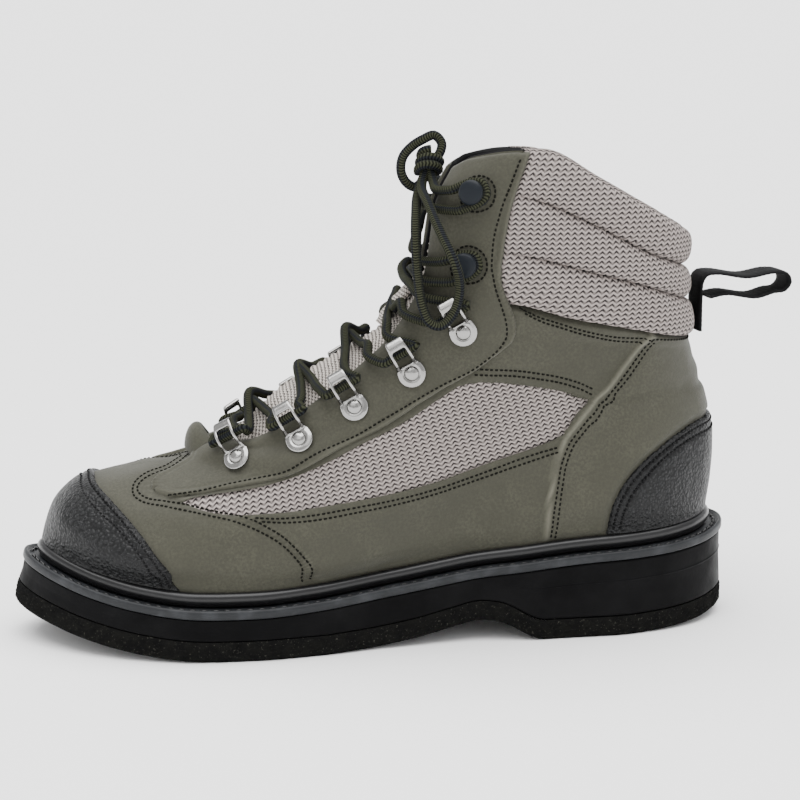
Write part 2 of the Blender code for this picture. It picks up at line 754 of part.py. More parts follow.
# What lies on the eyestay: from the rivet down and up the surface, and half across
RING_FOOT = (-0.32 * RING_PLATE_LENGTH, 0.30 * RING_PLATE_LENGTH, 0.48 * RING_PLATE_WIDTH)
HOOK_FOOT = (-HOOK_BASE_RADIUS * 0.8, HOOK_BASE_RADIUS * 0.8, HOOK_BASE_RADIUS * 0.8)
# Half-widths of the ring's bent plate along its length, shares of the plate's width
RING_PATH = (
    # along the plate, up from it, half-width; shares of length, rise and width
    (-0.32, 0.00, 0.20),
    (-0.15, 0.00, 0.46),
    (0.23, 0.00, 0.48),
    (0.38, 0.88, 0.44),
    (0.86, 1.00, 0.39),
    (1.00, 0.96, 0.37),
)
RING_HOLE = (2, 4)


def locate(forward, up, side):
    """Turn and level height of the point of one side at this place seen from it."""
    low, high = np.array([0.0, 1.0]), np.array([1.0, RIM])
    for _ in range(5):
        turns = np.linspace(low[0], high[0], 41)
        rows = np.linspace(low[1], high[1], 41)
        points = surface(side * turns, rows)
        miss = (points[..., 0] - forward) ** 2 + (points[..., 2] - up) ** 2
        i, j = np.unravel_index(np.argmin(miss), miss.shape)
        best = np.array([turns[j], rows[i]])
        reach = (high - low) / 8.0
        low = np.maximum(best - reach, (0.0, 1.0))
        high = np.minimum(best + reach, (1.0, RIM))
    return best


def seat_frame(share, side, lie):
    """Seat of a piece of hardware: its point, its way up the surface, its normal."""
    forward = share[0] * SOLE_LENGTH
    up = share[1] * (HEEL_STACK + UPPER_HEIGHT)
    if side < 0:
        forward -= SHAFT_TWIST * COLLAR_WIDTH * 0.9
        up -= SHAFT_LEAN * COLLAR_WIDTH * 0.4
    turn, row = locate(forward, up, side)
    normal = normals([side * turn], [row])[0, 0]
    rise = np.array([lie[0], 0.0, lie[1]])
    rise -= normal * rise.dot(normal)
    rise /= np.linalg.norm(rise)
    point = offset([side * turn], [row], GAP + OVERLAY)[0, 0]
    near = offset(side * np.clip(turn + np.linspace(-0.12, 0.12, 33), 0.0, 1.0),
                  np.clip(row + np.linspace(-0.9, 0.9, 33), 1.0, RIM), GAP + OVERLAY) - point
    foot = RING_FOOT if lie is RING_LIE else HOOK_FOOT
    under = (near @ rise > foot[0]) & (near @ rise < foot[1])
    under &= np.abs(near @ np.cross(normal, rise)) < foot[2]
    return point + normal * ((near @ normal)[under].max() + SEAT_GAP), rise, normal


def ring_sheet():
    """Ring plate in its own axes: x up the surface, y along the throat, z out."""
    lengths = np.array([row[0] for row in RING_PATH]) * RING_PLATE_LENGTH
    rises = np.array([row[1] for row in RING_PATH]) * RING_RISE
    halves = np.array([row[2] for row in RING_PATH]) * RING_PLATE_WIDTH
    hole = RING_OPENING / 2.0
    line = np.column_stack([lengths, rises])
    along = np.gradient(line, axis=0)
    along /= np.linalg.norm(along, axis=1, keepdims=True)
    lift = np.column_stack([-along[:, 1], along[:, 0]]) * RING_PLATE_THICKNESS
    shares = np.stack([-halves, np.maximum(-hole, -halves * 0.6),
                       np.minimum(hole, halves * 0.6), halves], axis=1)
    sheets = []
    for step in (0.0, 1.0):
        path = line + lift * step
        sheets.append(np.stack([np.repeat(path[:, :1], 4, 1), shares,
                                np.repeat(path[:, 1:], 4, 1)], axis=2))
    count = len(line) * 4
    under = np.arange(count).reshape(len(line), 4)
    over = under + count
    faces = []
    first, last = RING_HOLE
    for grid in (under, over):
        for i in range(len(line) - 1):
            for j in range(3):
                if not (j == 1 and first <= i < last):
                    faces += cells([grid[i, j:j + 2], grid[i + 1, j:j + 2]])
    for edge in (np.s_[0, :], np.s_[-1, :], np.s_[:, 0], np.s_[:, -1],
                 np.s_[first:last + 1, 1], np.s_[first:last + 1, 2],
                 np.s_[first, 1:3], np.s_[last, 1:3]):
        faces += cells([under[edge], over[edge]])
    return np.concatenate([sheet.reshape(-1, 3) for sheet in sheets]), faces


def turned(profile, count):
    """Round form about z from a profile of radius and height, closed at both ends."""
    angles = 2.0 * np.pi * np.arange(count) / count
    rings = [np.column_stack([r * np.cos(angles), r * np.sin(angles), np.full(count, z)])
             for r, z in profile]
    grid = np.arange(len(rings) * count).reshape(len(rings), count)
    closed = np.column_stack([grid, grid[:, :1]])
    faces = cells(closed) + [list(grid[0]), list(grid[-1])]
    return np.concatenate(rings), faces


def local_mesh(name, points, faces, finish):
    """Mesh in a piece's own axes, with its faces turned outward."""
    mesh = bpy.data.meshes.new(name)
    mesh.from_pydata(points.tolist(), [], [list(map(int, face)) for face in faces])
    form = bmesh.new()
    form.from_mesh(mesh)
    bmesh.ops.recalc_face_normals(form, faces=form.faces)
    form.to_mesh(mesh)
    form.free()
    mesh.materials.append(finish)
    return mesh


def unite(thing, other):
    """Join a second solid to a first."""
    join = thing.modifiers.new("join", "BOOLEAN")
    join.operation = "UNION"
    join.solver = "EXACT"
    join.object = other
    other.hide_render = True
    other.display_type = "WIRE"


def joined(name, first, second):
    """One mesh from two overlapping ones."""
    things = []
    for mesh in (first, second):
        thing = bpy.data.objects.new(name, mesh)
        bpy.context.scene.collection.objects.link(thing)
        things.append(thing)
    unite(*things)
    seen = bpy.context.evaluated_depsgraph_get()
    mesh = bpy.data.meshes.new_from_object(things[0].evaluated_get(seen))
    for thing in things:
        bpy.data.objects.remove(thing, do_unlink=True)
    return mesh


def world_frame(point, rise, normal):
    """Matrix that puts a piece's own axes on its seat in the world."""
    start = place(point)
    x = place(point + rise) - start
    z = place(point + normal) - start
    y = np.cross(z, x)
    return Matrix([[x[0], y[0], z[0], start[0]], [x[1], y[1], z[1], start[1]],
                   [x[2], y[2], z[2], start[2]], [0.0, 0.0, 0.0, 1.0]])


def make_hardware(nickel, plastic):
    """Five lace rings and two hooks on each side."""
    rivet = turned(((RIVET_RADIUS, RING_PLATE_THICKNESS * 0.5),
                    (RIVET_RADIUS, RING_PLATE_THICKNESS + RIVET_HEIGHT * 0.5),
                    (RIVET_RADIUS * 0.6, RING_PLATE_THICKNESS + RIVET_HEIGHT)), 8)
    ring_mesh = joined("lace_ring", local_mesh("lace_ring", *ring_sheet(), nickel),
                       local_mesh("rivet", *rivet, nickel))
    hook_mesh = local_mesh("hook", *turned((
        (HOOK_BASE_RADIUS, 0.0), (HOOK_BASE_RADIUS * 0.85, HOOK_BASE_THICKNESS),
        (HOOK_STEM_RADIUS, HOOK_BASE_THICKNESS), (HOOK_STEM_RADIUS, HOOK_HEIGHT * 0.68),
        (HOOK_HEAD_RADIUS, HOOK_HEIGHT * 0.74), (HOOK_HEAD_RADIUS * 0.9, HOOK_HEIGHT * 0.92),
        (HOOK_HEAD_RADIUS * 0.4, HOOK_HEIGHT)), 10), plastic)
    for side, word in ((1.0, "lateral"), (-1.0, "medial")):
        for pieces, lie, mesh, kind in ((RINGS, RING_LIE, ring_mesh, "lace_ring"),
                                        (HOOKS, HOOK_LIE, hook_mesh, "hook")):
            for number, share in enumerate(pieces, 1):
                thing = bpy.data.objects.new("%s_%s_%d" % (kind, word, number), mesh)
                thing.matrix_world = world_frame(*seat_frame(share, side, lie))
                bpy.context.scene.collection.objects.link(thing)


# Where the lace enters and leaves: shares of the ring plate's length and width,
# and distances from a hook's stem
LACE_TUNNEL = 0.63
LACE_STEP = 0.62
LACE_CLEAR = 0.0007
HOOK_TURN = 0.0045
HOOK_AWAY = 0.0062


def lace_stops():
    """For each ring and hook, on both sides: entry, way in, exit and way out."""
    stops = []
    for shares, lie in ((RINGS, RING_LIE), (HOOKS, HOOK_LIE)):
        for share in shares:
            pair = []
            for side in (1.0, -1.0):
                point, rise, normal = seat_frame(share, side, lie)
                along = np.cross(normal, rise)
                along *= np.sign(along[2])
                if lie is HOOK_LIE:
                    middle = point + rise * HOOK_AWAY
                    middle += normal * (HOOK_BASE_THICKNESS + LACE_RADIUS + LACE_CLEAR / 3.0)
                    step = along * HOOK_TURN
                    pair.append((middle - step, -rise, middle + step, rise))
                else:
                    middle = point + rise * LACE_TUNNEL * RING_PLATE_LENGTH
                    middle += normal * (RING_PLATE_THICKNESS + LACE_RADIUS + LACE_CLEAR)
                    step = along * RING_PLATE_WIDTH * LACE_STEP
                    pair.append((middle - step, along, middle + step, along))
            stops.append(pair)
    return stops


def around_flap(point, side):
    """Point over the eyestay, halfway from this point to the throat's edge."""
    turns = np.linspace(0.55, 0.9999, 46)
    rows = np.linspace(THROAT + 0.1, RIM - 0.2, 70)
    form = surface(side * turns, rows)
    miss = np.linalg.norm(form - point, axis=-1)
    i, j = np.unravel_index(np.argmin(miss), miss.shape)
    k = np.argmin(miss[:, -1])
    lift = GAP + OVERLAY + LACE_RADIUS + LACE_CLEAR * 2.0
    return offset([side * (turns[j] + turns[-1]) / 2.0], [(rows[i] + rows[k]) / 2.0], lift)[0, 0]


def edge_clear(point, side):
    """Point clear of the eyestay over the throat's edge nearest to this point."""
    rows = np.linspace(THROAT + 0.1, RIM - 0.2, 64)
    sides = np.array([side])
    edge = offset(sides, rows, 0.0)[:, 0]
    out = normals(sides, rows)[:, 0] + throat_frame(rows)[1]
    out /= np.linalg.norm(out, axis=-1, keepdims=True)
    k = np.argmin(np.linalg.norm(edge - point, axis=1))
    return edge[k] + out[k] * (GAP + OVERLAY + LACE_RADIUS + LACE_CLEAR * 2.0)


def over_throat(first, last, shares):
    """Points clear of the eyestay and of the tongue, from side to side."""
    rows = np.linspace(THROAT + 0.1, RIM - 0.6, 64)
    out = throat_frame(rows)[1]
    arch = flow(*zip(*TONGUE_ARCH), rows)
    sides = np.array([1.0, -1.0]) * np.sign(first[1])
    edges = offset(sides, rows, 0.0)
    start = np.argmin(np.linalg.norm(edges[:, 0] - first, axis=1))
    stop = np.argmin(np.linalg.norm(edges[:, 1] - last, axis=1))
    points = [around_flap(first, sides[0]), edge_clear(first, sides[0])]
    for share in shares:
        k = int(round(start + (stop - start) * (1.0 - share) / 2.0))
        middle = edges[k].mean(axis=0)
        lift = arch[k] * (1.0 - share ** 2) ** ARCH_POWER - WALL - TONGUE_CLEARANCE
        lift = max(lift, GAP + OVERLAY) + LACE_RADIUS + LACE_CLEAR * 3.0
        points.append(middle + share * (edges[k, 0] - middle) + out[k] * lift)
    return points + [edge_clear(last, sides[1]), around_flap(last, sides[1])]


def smooth_path(points, step):
    """Even points on a smooth curve through route points."""
    points = np.array(points)
    run = np.concatenate([[0.0], np.cumsum(np.linalg.norm(np.diff(points, axis=0), axis=1) ** 0.5)])
    fine = np.linspace(0.0, run[-1], 400)
    slope = np.gradient(points, run, axis=0)
    index = np.clip(np.searchsorted(run, fine, side="right") - 1, 0, len(run) - 2)
    span = np.diff(run)[index][:, None]
    t = ((fine - run[index])[:, None]) / span
    curve = (points[index] * (1 + 2 * t) * (1 - t) ** 2 + slope[index] * span * t * (1 - t) ** 2
             + points[index + 1] * t * t * (3 - 2 * t) + slope[index + 1] * span * t * t * (t - 1))
    length = np.linalg.norm(np.diff(curve, axis=0), axis=1).sum()
    return spread(curve, max(3, int(round(length / step)) + 1))


def tube(name, path, finish, sides=5):
    """Round bar along a path, closed at both ends."""
    along = np.gradient(path, axis=0)
    along /= np.linalg.norm(along, axis=1, keepdims=True)
    first = np.cross(along[0], [0.0, 0.0, 1.0])
    rings = []
    for point, way_on in zip(path, along):
        first = first - way_on * first.dot(way_on)
        first /= np.linalg.norm(first)
        second = np.cross(way_on, first)
        angles = 2.0 * np.pi * (np.arange(sides) + 0.5) / sides
        rings.append(point + LACE_RADIUS * (np.cos(angles)[:, None] * first
                                            + np.sin(angles)[:, None] * second))
    grid = np.arange(len(rings) * sides).reshape(len(rings), sides)
    faces = cells(np.column_stack([grid, grid[:, :1]])) + [list(grid[0]), list(grid[-1])]
    return solid(name, np.concatenate(rings), faces, finish)


def make_laces(finish):
    """Lace over the vamp and its crossings between the rings and hooks."""
    stops = lace_stops()
    ends = [stops[0][0][0], stops[0][1][0]]
    starts = [end - stops[0][k][1] * LACE_RADIUS for k, end in enumerate(ends)]
    path = [ends[0], starts[0], *over_throat(*starts, (0.5, 0.0, -0.5)), starts[1], ends[1]]
    tube("lace_bar", smooth_path(path, LACE_PITCH), finish)
    for number in range(len(stops) - 1):
        strands = []
        for side in (0, 1):
            leave, reach = stops[number][side], stops[number + 1][1 - side]
            start = leave[2] + leave[3] * LACE_RADIUS
            stop = reach[0] - reach[1] * LACE_RADIUS
            path = [leave[2], start, *over_throat(start, stop, (0.55, 0.0, -0.55)),
                    stop, reach[0]]
            name = "lace_crossing_%d" % (number + 1)
            strands.append(tube(name if side == 0 else name + "_strand",
                                smooth_path(path, LACE_PITCH), finish))
        unite(*strands)


# Knot and bow: shares of the sole's length, the collar's width and the boot's height
KNOT_PLACE = (0.431, 0.149, 0.966)
BOW_LOOP_LONG = (
    # forward, outward, up
    (0.445, 0.221, 0.924),
    (0.444, 0.388, 0.892),
    (0.434, 0.556, 0.834),
    (0.422, 0.636, 0.787),
    (0.414, 0.618, 0.743),
    (0.417, 0.595, 0.698),
    (0.427, 0.588, 0.671),
    (0.439, 0.582, 0.659),
    (0.451, 0.564, 0.666),
    (0.459, 0.528, 0.696),
    (0.462, 0.463, 0.751),
    (0.463, 0.425, 0.812),
    (0.459, 0.340, 0.868),
    (0.448, 0.184, 0.912),
)
BOW_LOOP_FRONT = (
    (0.449, 0.125, 0.918),
    (0.462, 0.131, 0.928),
    (0.469, 0.131, 0.950),
    (0.466, 0.119, 0.978),
    (0.453, 0.113, 1.000),
    (0.438, 0.119, 1.014),
    (0.423, 0.119, 1.022),
    (0.4135, 0.131, 1.006),
    (0.4170, 0.149, 0.9865),
)


def on_boot(rows):
    """Points of a table of shares."""
    return np.array(rows) * (SOLE_LENGTH, COLLAR_WIDTH, HEEL_STACK + UPPER_HEIGHT)


def make_bow(finish):
    """Knot with its strands to the top hooks, and the two loops of the bow as cords."""
    middle = on_boot(KNOT_PLACE)
    path = [middle]
    for side, stop in zip((1.0, -1.0), lace_stops()[-1]):
        start = stop[2] + stop[3] * LACE_RADIUS
        tail = [edge_clear(start, side), around_flap(start, side), start, stop[2]]
        path = path + tail if side > 0.0 else tail[::-1] + path
    strand = tube("lace_knot", smooth_path(path, LACE_PITCH), finish)
    tilt = np.linspace(-0.42, 0.42, 5) * np.pi
    points, faces = turned(np.column_stack([np.cos(tilt), np.sin(tilt)]), 8)
    knot = solid("lace_knot_ball", middle + points * KNOT_RADII, faces, finish)
    unite(strand, knot)
    for name, table in (("bow_loop_long", BOW_LOOP_LONG), ("bow_loop_front", BOW_LOOP_FRONT)):
        route = place(smooth_path(on_boot(table), CORD_PITCH))
        curve = bpy.data.curves.new(name, "CURVE")
        curve.dimensions = "3D"
        curve.bevel_depth = LACE_RADIUS
        curve.bevel_resolution = 2
        curve.use_fill_caps = True
        spline = curve.splines.new("POLY")
        spline.points.add(len(route) - 1)
        spline.points.foreach_set("co", np.column_stack([route, np.ones(len(route))]).ravel())
        curve.materials.append(finish)
        bpy.context.scene.collection.objects.link(bpy.data.objects.new(name, curve))


# Pull loop of webbing seen from the side
LOOP_PATH = (
    # share of the way from the root to the tip, share of the boot's height
    (0.00, 0.622),
    (0.00, 0.672),
    (0.01, 0.708),
    (0.06, 0.723),
    (0.18, 0.726),
    (0.51, 0.717),
    (0.80, 0.726),
    (0.94, 0.722),
    (0.98, 0.705),
    (0.92, 0.688),
    (0.80, 0.684),
    (0.61, 0.674),
    (0.28, 0.682),
    (0.10, 0.676),
)


def make_pull_loop(finish):
    """Webbing sewn down the cuff's back, out in a loop and back to its root."""
    table = np.array(LOOP_PATH)
    forward = LOOP_ROOT - table[:, 0] * (LOOP_ROOT + LOOP_REACH)
    up = table[:, 1] * (HEEL_STACK + UPPER_HEIGHT)
    path = smooth_path(np.column_stack([forward, np.zeros(len(up)), up]), 0.0045)
    along = np.gradient(path, axis=0)
    along /= np.linalg.norm(along, axis=1, keepdims=True)
    thick = np.column_stack([-along[:, 2], along[:, 1], along[:, 0]]) * LOOP_THICKNESS / 2.0
    wide = np.array([0.0, LOOP_WIDTH / 2.0, 0.0])
    sheets = [np.stack([path + side * thick - wide, path + side * thick + wide], axis=1)
              for side in (-1.0, 1.0)]
    plate("pull_loop", sheets[0], sheets[1], finish)


def main():
    """Build every piece of the boot."""
    for thing in list(bpy.data.objects):
        bpy.data.objects.remove(thing, do_unlink=True)
    felt = material("felt", (0.02, 0.021, 0.019), 0.95)
    rubber = material("rubber", (0.016, 0.017, 0.018), 0.5)
    edge = material("welt_rubber", (0.03, 0.031, 0.033), 0.4)
    leather = material("olive_leather", (0.115, 0.118, 0.085), 0.6)
    toe = material("pebbled_rubber", (0.02, 0.021, 0.023), 0.45)
    knit = material("knit", (0.42, 0.39, 0.34), 0.85)
    lining = material("lining", (0.012, 0.012, 0.013), 0.9)
    nickel = material("nickel", (0.7, 0.7, 0.68), 0.25, 1.0)
    plastic = material("hook_plastic", (0.025, 0.03, 0.038), 0.45)
    webbing = material("webbing", (0.012, 0.012, 0.013), 0.8)
    lace = material("lace_cord", (0.03, 0.032, 0.026), 0.8)
    make_sole(felt, rubber, edge)
    make_insole(lining)
    make_upper(leather)
    make_tongue(knit)
    make_overlays(toe, leather)
    make_cuff(knit)
    make_hardware(nickel, plastic)
    make_laces(lace)
    make_bow(lace)
    make_pull_loop(webbing)


main()
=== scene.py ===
import bpy
import numpy as np
from mathutils import Euler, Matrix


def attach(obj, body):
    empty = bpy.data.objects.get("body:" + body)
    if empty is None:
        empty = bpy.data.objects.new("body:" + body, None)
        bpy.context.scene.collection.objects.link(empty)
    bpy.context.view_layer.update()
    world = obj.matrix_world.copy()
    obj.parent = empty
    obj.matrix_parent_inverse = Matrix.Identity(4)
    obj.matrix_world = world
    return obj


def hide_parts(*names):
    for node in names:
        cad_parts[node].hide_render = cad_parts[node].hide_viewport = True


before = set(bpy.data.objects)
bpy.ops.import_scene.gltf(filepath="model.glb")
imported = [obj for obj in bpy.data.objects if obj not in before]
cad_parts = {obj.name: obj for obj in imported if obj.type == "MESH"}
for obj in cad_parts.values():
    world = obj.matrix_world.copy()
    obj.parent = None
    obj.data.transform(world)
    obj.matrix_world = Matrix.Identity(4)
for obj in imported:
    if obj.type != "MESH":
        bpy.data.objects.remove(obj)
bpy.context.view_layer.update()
rng = np.random.default_rng(7)

# Sizes as in the model, a dictionary for each piece. "gap" is the play between two pieces.
gap = 0.0003
sole = {"length": 0.309, "ballWidth": 0.108, "heelWidth": 0.086, "felt": 0.0085,
        "heelStack": 0.037, "ballStack": 0.0217, "toeSpring": 0.015, "toeLean": 0.005,
        "heelLift": 0.0045, "archRise": 0.009}
welt = {"thickness": 0.004, "proud": 0.001, "channelWidth": 0.0055, "channelDepth": 0.0008,
        "beadWidth": 0.0035, "beadHeight": 0.006, "ledge": 0.004}
upper = {"height": 0.168, "collarWidth": 0.084, "wall": 0.0022, "twist": 0.14, "lean": 0.05,
         "overlay": 0.0014, "capOverlay": 0.0017}
pullLoop = {"reach": 0.028, "root": 0.0129, "thickness": 0.0016, "width": 0.018}
bootHeight = sole["heelStack"] + upper["height"]

# Outline of the sole: forward, lateral and medial, shares of its length and width
soleOutline = np.array((
    (0.000, 0.000, 0.000), (0.020, 0.225, 0.225), (0.060, 0.372, 0.366),
    (0.120, 0.471, 0.451), (0.200, 0.525, 0.480), (0.300, 0.510, 0.420),
    (0.400, 0.443, 0.366), (0.500, 0.445, 0.365), (0.600, 0.486, 0.413),
    (0.680, 0.513, 0.462), (0.760, 0.502, 0.481), (0.840, 0.434, 0.447),
    (0.910, 0.322, 0.365), (0.955, 0.205, 0.281), (0.985, 0.092, 0.183),
    (1.000, -0.055, 0.055)))
archTable = ((0.290, 0.00), (0.300, 0.08), (0.350, 0.90), (0.375, 1.00),
             (0.420, 0.72), (0.470, 0.36), (0.530, 0.10), (0.590, 0.00))
riseStations = (0.0, 0.18, 0.42, 0.65, 0.82, 0.94, 1.0)
widthStations = (0.0, 0.12, 0.28, 0.45, 0.60, 0.72, 0.84, 0.93, 1.0)

# Levels of the upper: name, back, front, rises, half-widths, foot's curve, collar's share
levels = (
    ("side", 0.024, 0.937, (0.115, 0.108, 0.089, 0.092, 0.093, 0.117, 0.145),
     (0, 0.227, 0.419, 0.334, 0.412, 0.426, 0.310, 0.176, 0.000), 0.95, 0.00),
    ("toeTop", 0.021, 0.902, (0.186, 0.185, 0.163, 0.161, 0.164, 0.198, 0.221),
     (0, 0.221, 0.395, 0.339, 0.407, 0.412, 0.287, 0.162, 0.000), 0.90, 0.00),
    ("capLip", 0.021, 0.872, (0.233, 0.238, 0.225, 0.222, 0.217, 0.236, 0.252),
     (0, 0.215, 0.378, 0.339, 0.394, 0.384, 0.255, 0.144, 0.000), 0.85, 0.00),
    ("vamp", 0.026, 0.810, (0.294, 0.303, 0.290, 0.284, 0.265, 0.277, 0.290),
     (0, 0.204, 0.362, 0.352, 0.388, 0.359, 0.230, 0.129, 0.000), 0.80, 0.15),
    ("tongueBase", 0.033, 0.760, (0.343, 0.351, 0.339, 0.330, 0.300, 0.308, 0.318),
     (0, 0.199, 0.351, 0.360, 0.392, 0.357, 0.223, 0.124, 0.000), 0.75, 0.30),
    ("throat", 0.039, 0.737, (0.367, 0.377, 0.367, 0.360, 0.333, 0.337, 0.348),
     (0, 0.200, 0.346, 0.366, 0.401, 0.371, 0.239, 0.132, 0.000), 0.70, 0.40),
    ("eyestay1", 0.041, 0.671, (0.398, 0.410, 0.404, 0.397, 0.371, 0.368, 0.370),
     (0, 0.200, 0.347, 0.370, 0.406, 0.385, 0.316, 0.274, 0.237), 0.60, 0.55),
    ("eyestay2", 0.048, 0.601, (0.435, 0.451, 0.456, 0.458, 0.440, 0.433, 0.436),
     (0, 0.201, 0.355, 0.384, 0.417, 0.400, 0.362, 0.334, 0.312), 0.50, 0.70),
    ("eyestay3", 0.053, 0.530, (0.466, 0.495, 0.520, 0.545, 0.539, 0.524, 0.519),
     (0, 0.214, 0.368, 0.412, 0.434, 0.417, 0.382, 0.354, 0.331), 0.40, 0.85),
    ("cuffFoot", 0.057, 0.473, (0.496, 0.536, 0.582, 0.641, 0.653, 0.630, 0.601),
     (0, 0.238, 0.411, 0.470, 0.476, 0.440, 0.393, 0.357, 0.333), 0.30, 1.00),
    ("rollLow", 0.062, 0.431, (0.592, 0.646, 0.697, 0.750, 0.776, 0.758, 0.734),
     (0, 0.250, 0.429, 0.488, 0.488, 0.446, 0.381, 0.333, 0.304), 0.20, 1.00),
    ("rollHigh", 0.067, 0.415, (0.680, 0.730, 0.813, 0.885, 0.916, 0.915, 0.896),
     (0, 0.256, 0.440, 0.500, 0.488, 0.435, 0.357, 0.298, 0.262), 0.15, 1.00),
    ("rim", 0.064, 0.389, (0.769, 0.831, 0.913, 0.994, 1.007, 1.002, 0.988),
     (0, 0.256, 0.440, 0.500, 0.476, 0.411, 0.321, 0.268, 0.232), 0.10, 1.00))
levelNames = ["feather", "bead"] + [row[0] for row in levels]
throatRow = float(levelNames.index("throat"))
cuffRow = float(levelNames.index("cuffFoot"))
rimRow = float(levelNames.index("rim"))


def unit(vectors, tiny=0.0):
    return vectors / (np.linalg.norm(vectors, axis=-1, keepdims=True) + tiny)


# Length run along a line up to each of its points
def runOf(line):
    return np.concatenate([[0.0], np.cumsum(np.linalg.norm(np.diff(line, axis=0), axis=1))])


def ease(share):
    share = np.clip(share, 0.0, 1.0)
    return share * share * (3.0 - 2.0 * share)


# Cubic between the rows of a table; each row's slope is the harmonic mean of the steps
# beside it, or 0 where they differ in sign. With columns, point k is read in column k.
def flow(rows, values, at, columns=False):
    rows = np.asarray(rows, float)
    values = np.asarray(values, float)
    at = np.asarray(at, float)
    shape = (-1,) + (1,) * (values.ndim - 1)
    step = np.diff(rows).reshape(shape)
    rise = np.diff(values, axis=0) / step
    product = rise[:-1] * rise[1:]
    total = np.where(product > 0.0, rise[:-1] + rise[1:], 1.0)
    slope = np.concatenate([rise[:1], np.where(product > 0.0, 2.0 * product / total, 0.0),
                            rise[-1:]])
    index = np.clip(np.searchsorted(rows, at, side="right") - 1, 0, len(rows) - 2)
    span = np.diff(rows)[index]
    t = (at - rows[index]) / span
    if columns:
        each = np.arange(len(at))
        low, high = values[index, :, each], values[index + 1, :, each]
        start, end = slope[index, :, each], slope[index + 1, :, each]
        t, span = t[:, None], span[:, None]
    else:
        if values.ndim > 1:
            t, span = t[..., None], span[..., None]
        low, high, start, end = values[index], values[index + 1], slope[index], slope[index + 1]
    return (low * (1 + 2 * t) * (1 - t) ** 2 + start * span * t * (1 - t) ** 2
            + high * t ** 2 * (3 - 2 * t) + end * span * t ** 2 * (t - 1))


def footWidth(share):
    return sole["heelWidth"] + (sole["ballWidth"] - sole["heelWidth"]) * ease((share - 0.2) / 0.4)


def toeRise(share):
    return sole["toeSpring"] * np.clip((share - 0.72) / 0.28, 0.0, 1.0) ** 2


def heelRise(share):
    return sole["heelLift"] * np.clip(1.0 - share / 0.18, 0.0, 1.0) ** 2


def seatHeight(forward):
    share = forward / sole["length"]
    drop = ease((share - 0.15) / 0.55)
    stack = sole["heelStack"] + (sole["ballStack"] - sole["heelStack"]) * drop
    return stack + toeRise(share) + heelRise(share)


def floorHeight(forward):
    share = forward / sole["length"]
    rows, rises = zip(*archTable)
    arch = sole["archRise"] * flow(rows, rises, np.clip(share, rows[0], rows[-1]))
    return arch + toeRise(share) + heelRise(share)


stations = np.arccos(1.0 - 2.0 * soleOutline[:, 0]) / np.pi
signedTurns = np.concatenate([-stations[:0:-1], stations])
signedWidths = np.concatenate([-soleOutline[:0:-1, 2], soleOutline[:, 1]])
signedTurns = np.concatenate([signedTurns, 2.0 + signedTurns[1:4]])
signedWidths = np.concatenate([signedWidths, signedWidths[1:4]])


# Point of the sole's outline at a signed turn, moved in along its normal by an inset
def outlinePoint(at, inset):
    def sides(at):
        at = np.where(at < -1.0, at + 2.0, at)
        share = (1.0 - np.cos(np.pi * np.abs(np.where(at > 1.0, 2.0 - at, at)))) / 2.0
        outward = flow(signedTurns, signedWidths, at) * footWidth(share)
        return np.stack([share * sole["length"], outward], axis=-1)

    along = unit(sides(at + 0.004) - sides(at - 0.004))
    return sides(at) - np.stack([-along[:, 1], along[:, 0]], axis=-1) * inset


# The wall tilts back over the toe by its height above the felt
def leanBack(points, base):
    share = np.clip((points[:, 0] / sole["length"] - 0.72) / 0.28, 0.0, 1.0) ** 2
    moved = points.copy()
    moved[:, 0] -= sole["toeLean"] * share * (points[:, 2] - base) / sole["ballStack"]
    return moved


featherInset = welt["channelWidth"] + welt["beadWidth"] + gap


# Outer form of the upper at a signed turn and a level height: forward, outward, up.
# In front of the throat a turn beyond 1 goes on over the ridge to the other side.
def form(turn, row):
    turn, row = np.broadcast_arrays(np.asarray(turn, float), np.asarray(row, float))
    shape = turn.shape
    turn, row = turn.ravel(), np.clip(row.ravel(), 0.0, rimRow)
    over = (row <= throatRow) & (np.abs(turn) > 1.0)
    turn = np.where(over, turn - 2.0 * np.sign(turn), np.clip(turn, -1.0, 1.0))
    size = np.abs(turn)
    side = np.where(turn < 0.0, -1.0, 1.0)
    lateral, medial = outlinePoint(size, featherInset), outlinePoint(-size, featherInset)
    own = np.where(side[:, None] > 0.0, lateral, medial)
    share = (1.0 - np.cos(np.pi * size)) / 2.0
    middle = (lateral[:, 1] + medial[:, 1]) / 2.0
    stackRows = []
    for lift in (gap, welt["beadHeight"] + gap):
        points = np.column_stack([own, seatHeight(own[:, 0]) + lift])
        stackRows.append(leanBack(points, floorHeight(own[:, 0])).T)
    for _, back, front, rises, halves, curve, collar in levels:
        forward = (back + (front - back) * share) * sole["length"]
        rise = flow(riseStations, rises, share) * upper["height"]
        width = footWidth(share) * (1.0 - collar) + upper["collarWidth"] * collar
        half = flow(widthStations, halves, size) * width
        stackRows.append(np.stack([forward, middle * curve + side * half,
                                   seatHeight(forward) + rise]))
    point = flow(np.arange(len(stackRows)), np.array(stackRows), row, columns=True)
    turned = ease((row - 3.0) / 5.0)
    tipped = ease((row - throatRow) / (rimRow - throatRow))
    point[:, 0] += point[:, 1] * upper["twist"] * turned
    point[:, 2] += point[:, 1] * upper["lean"] * tipped
    return point.reshape(*shape, 3)


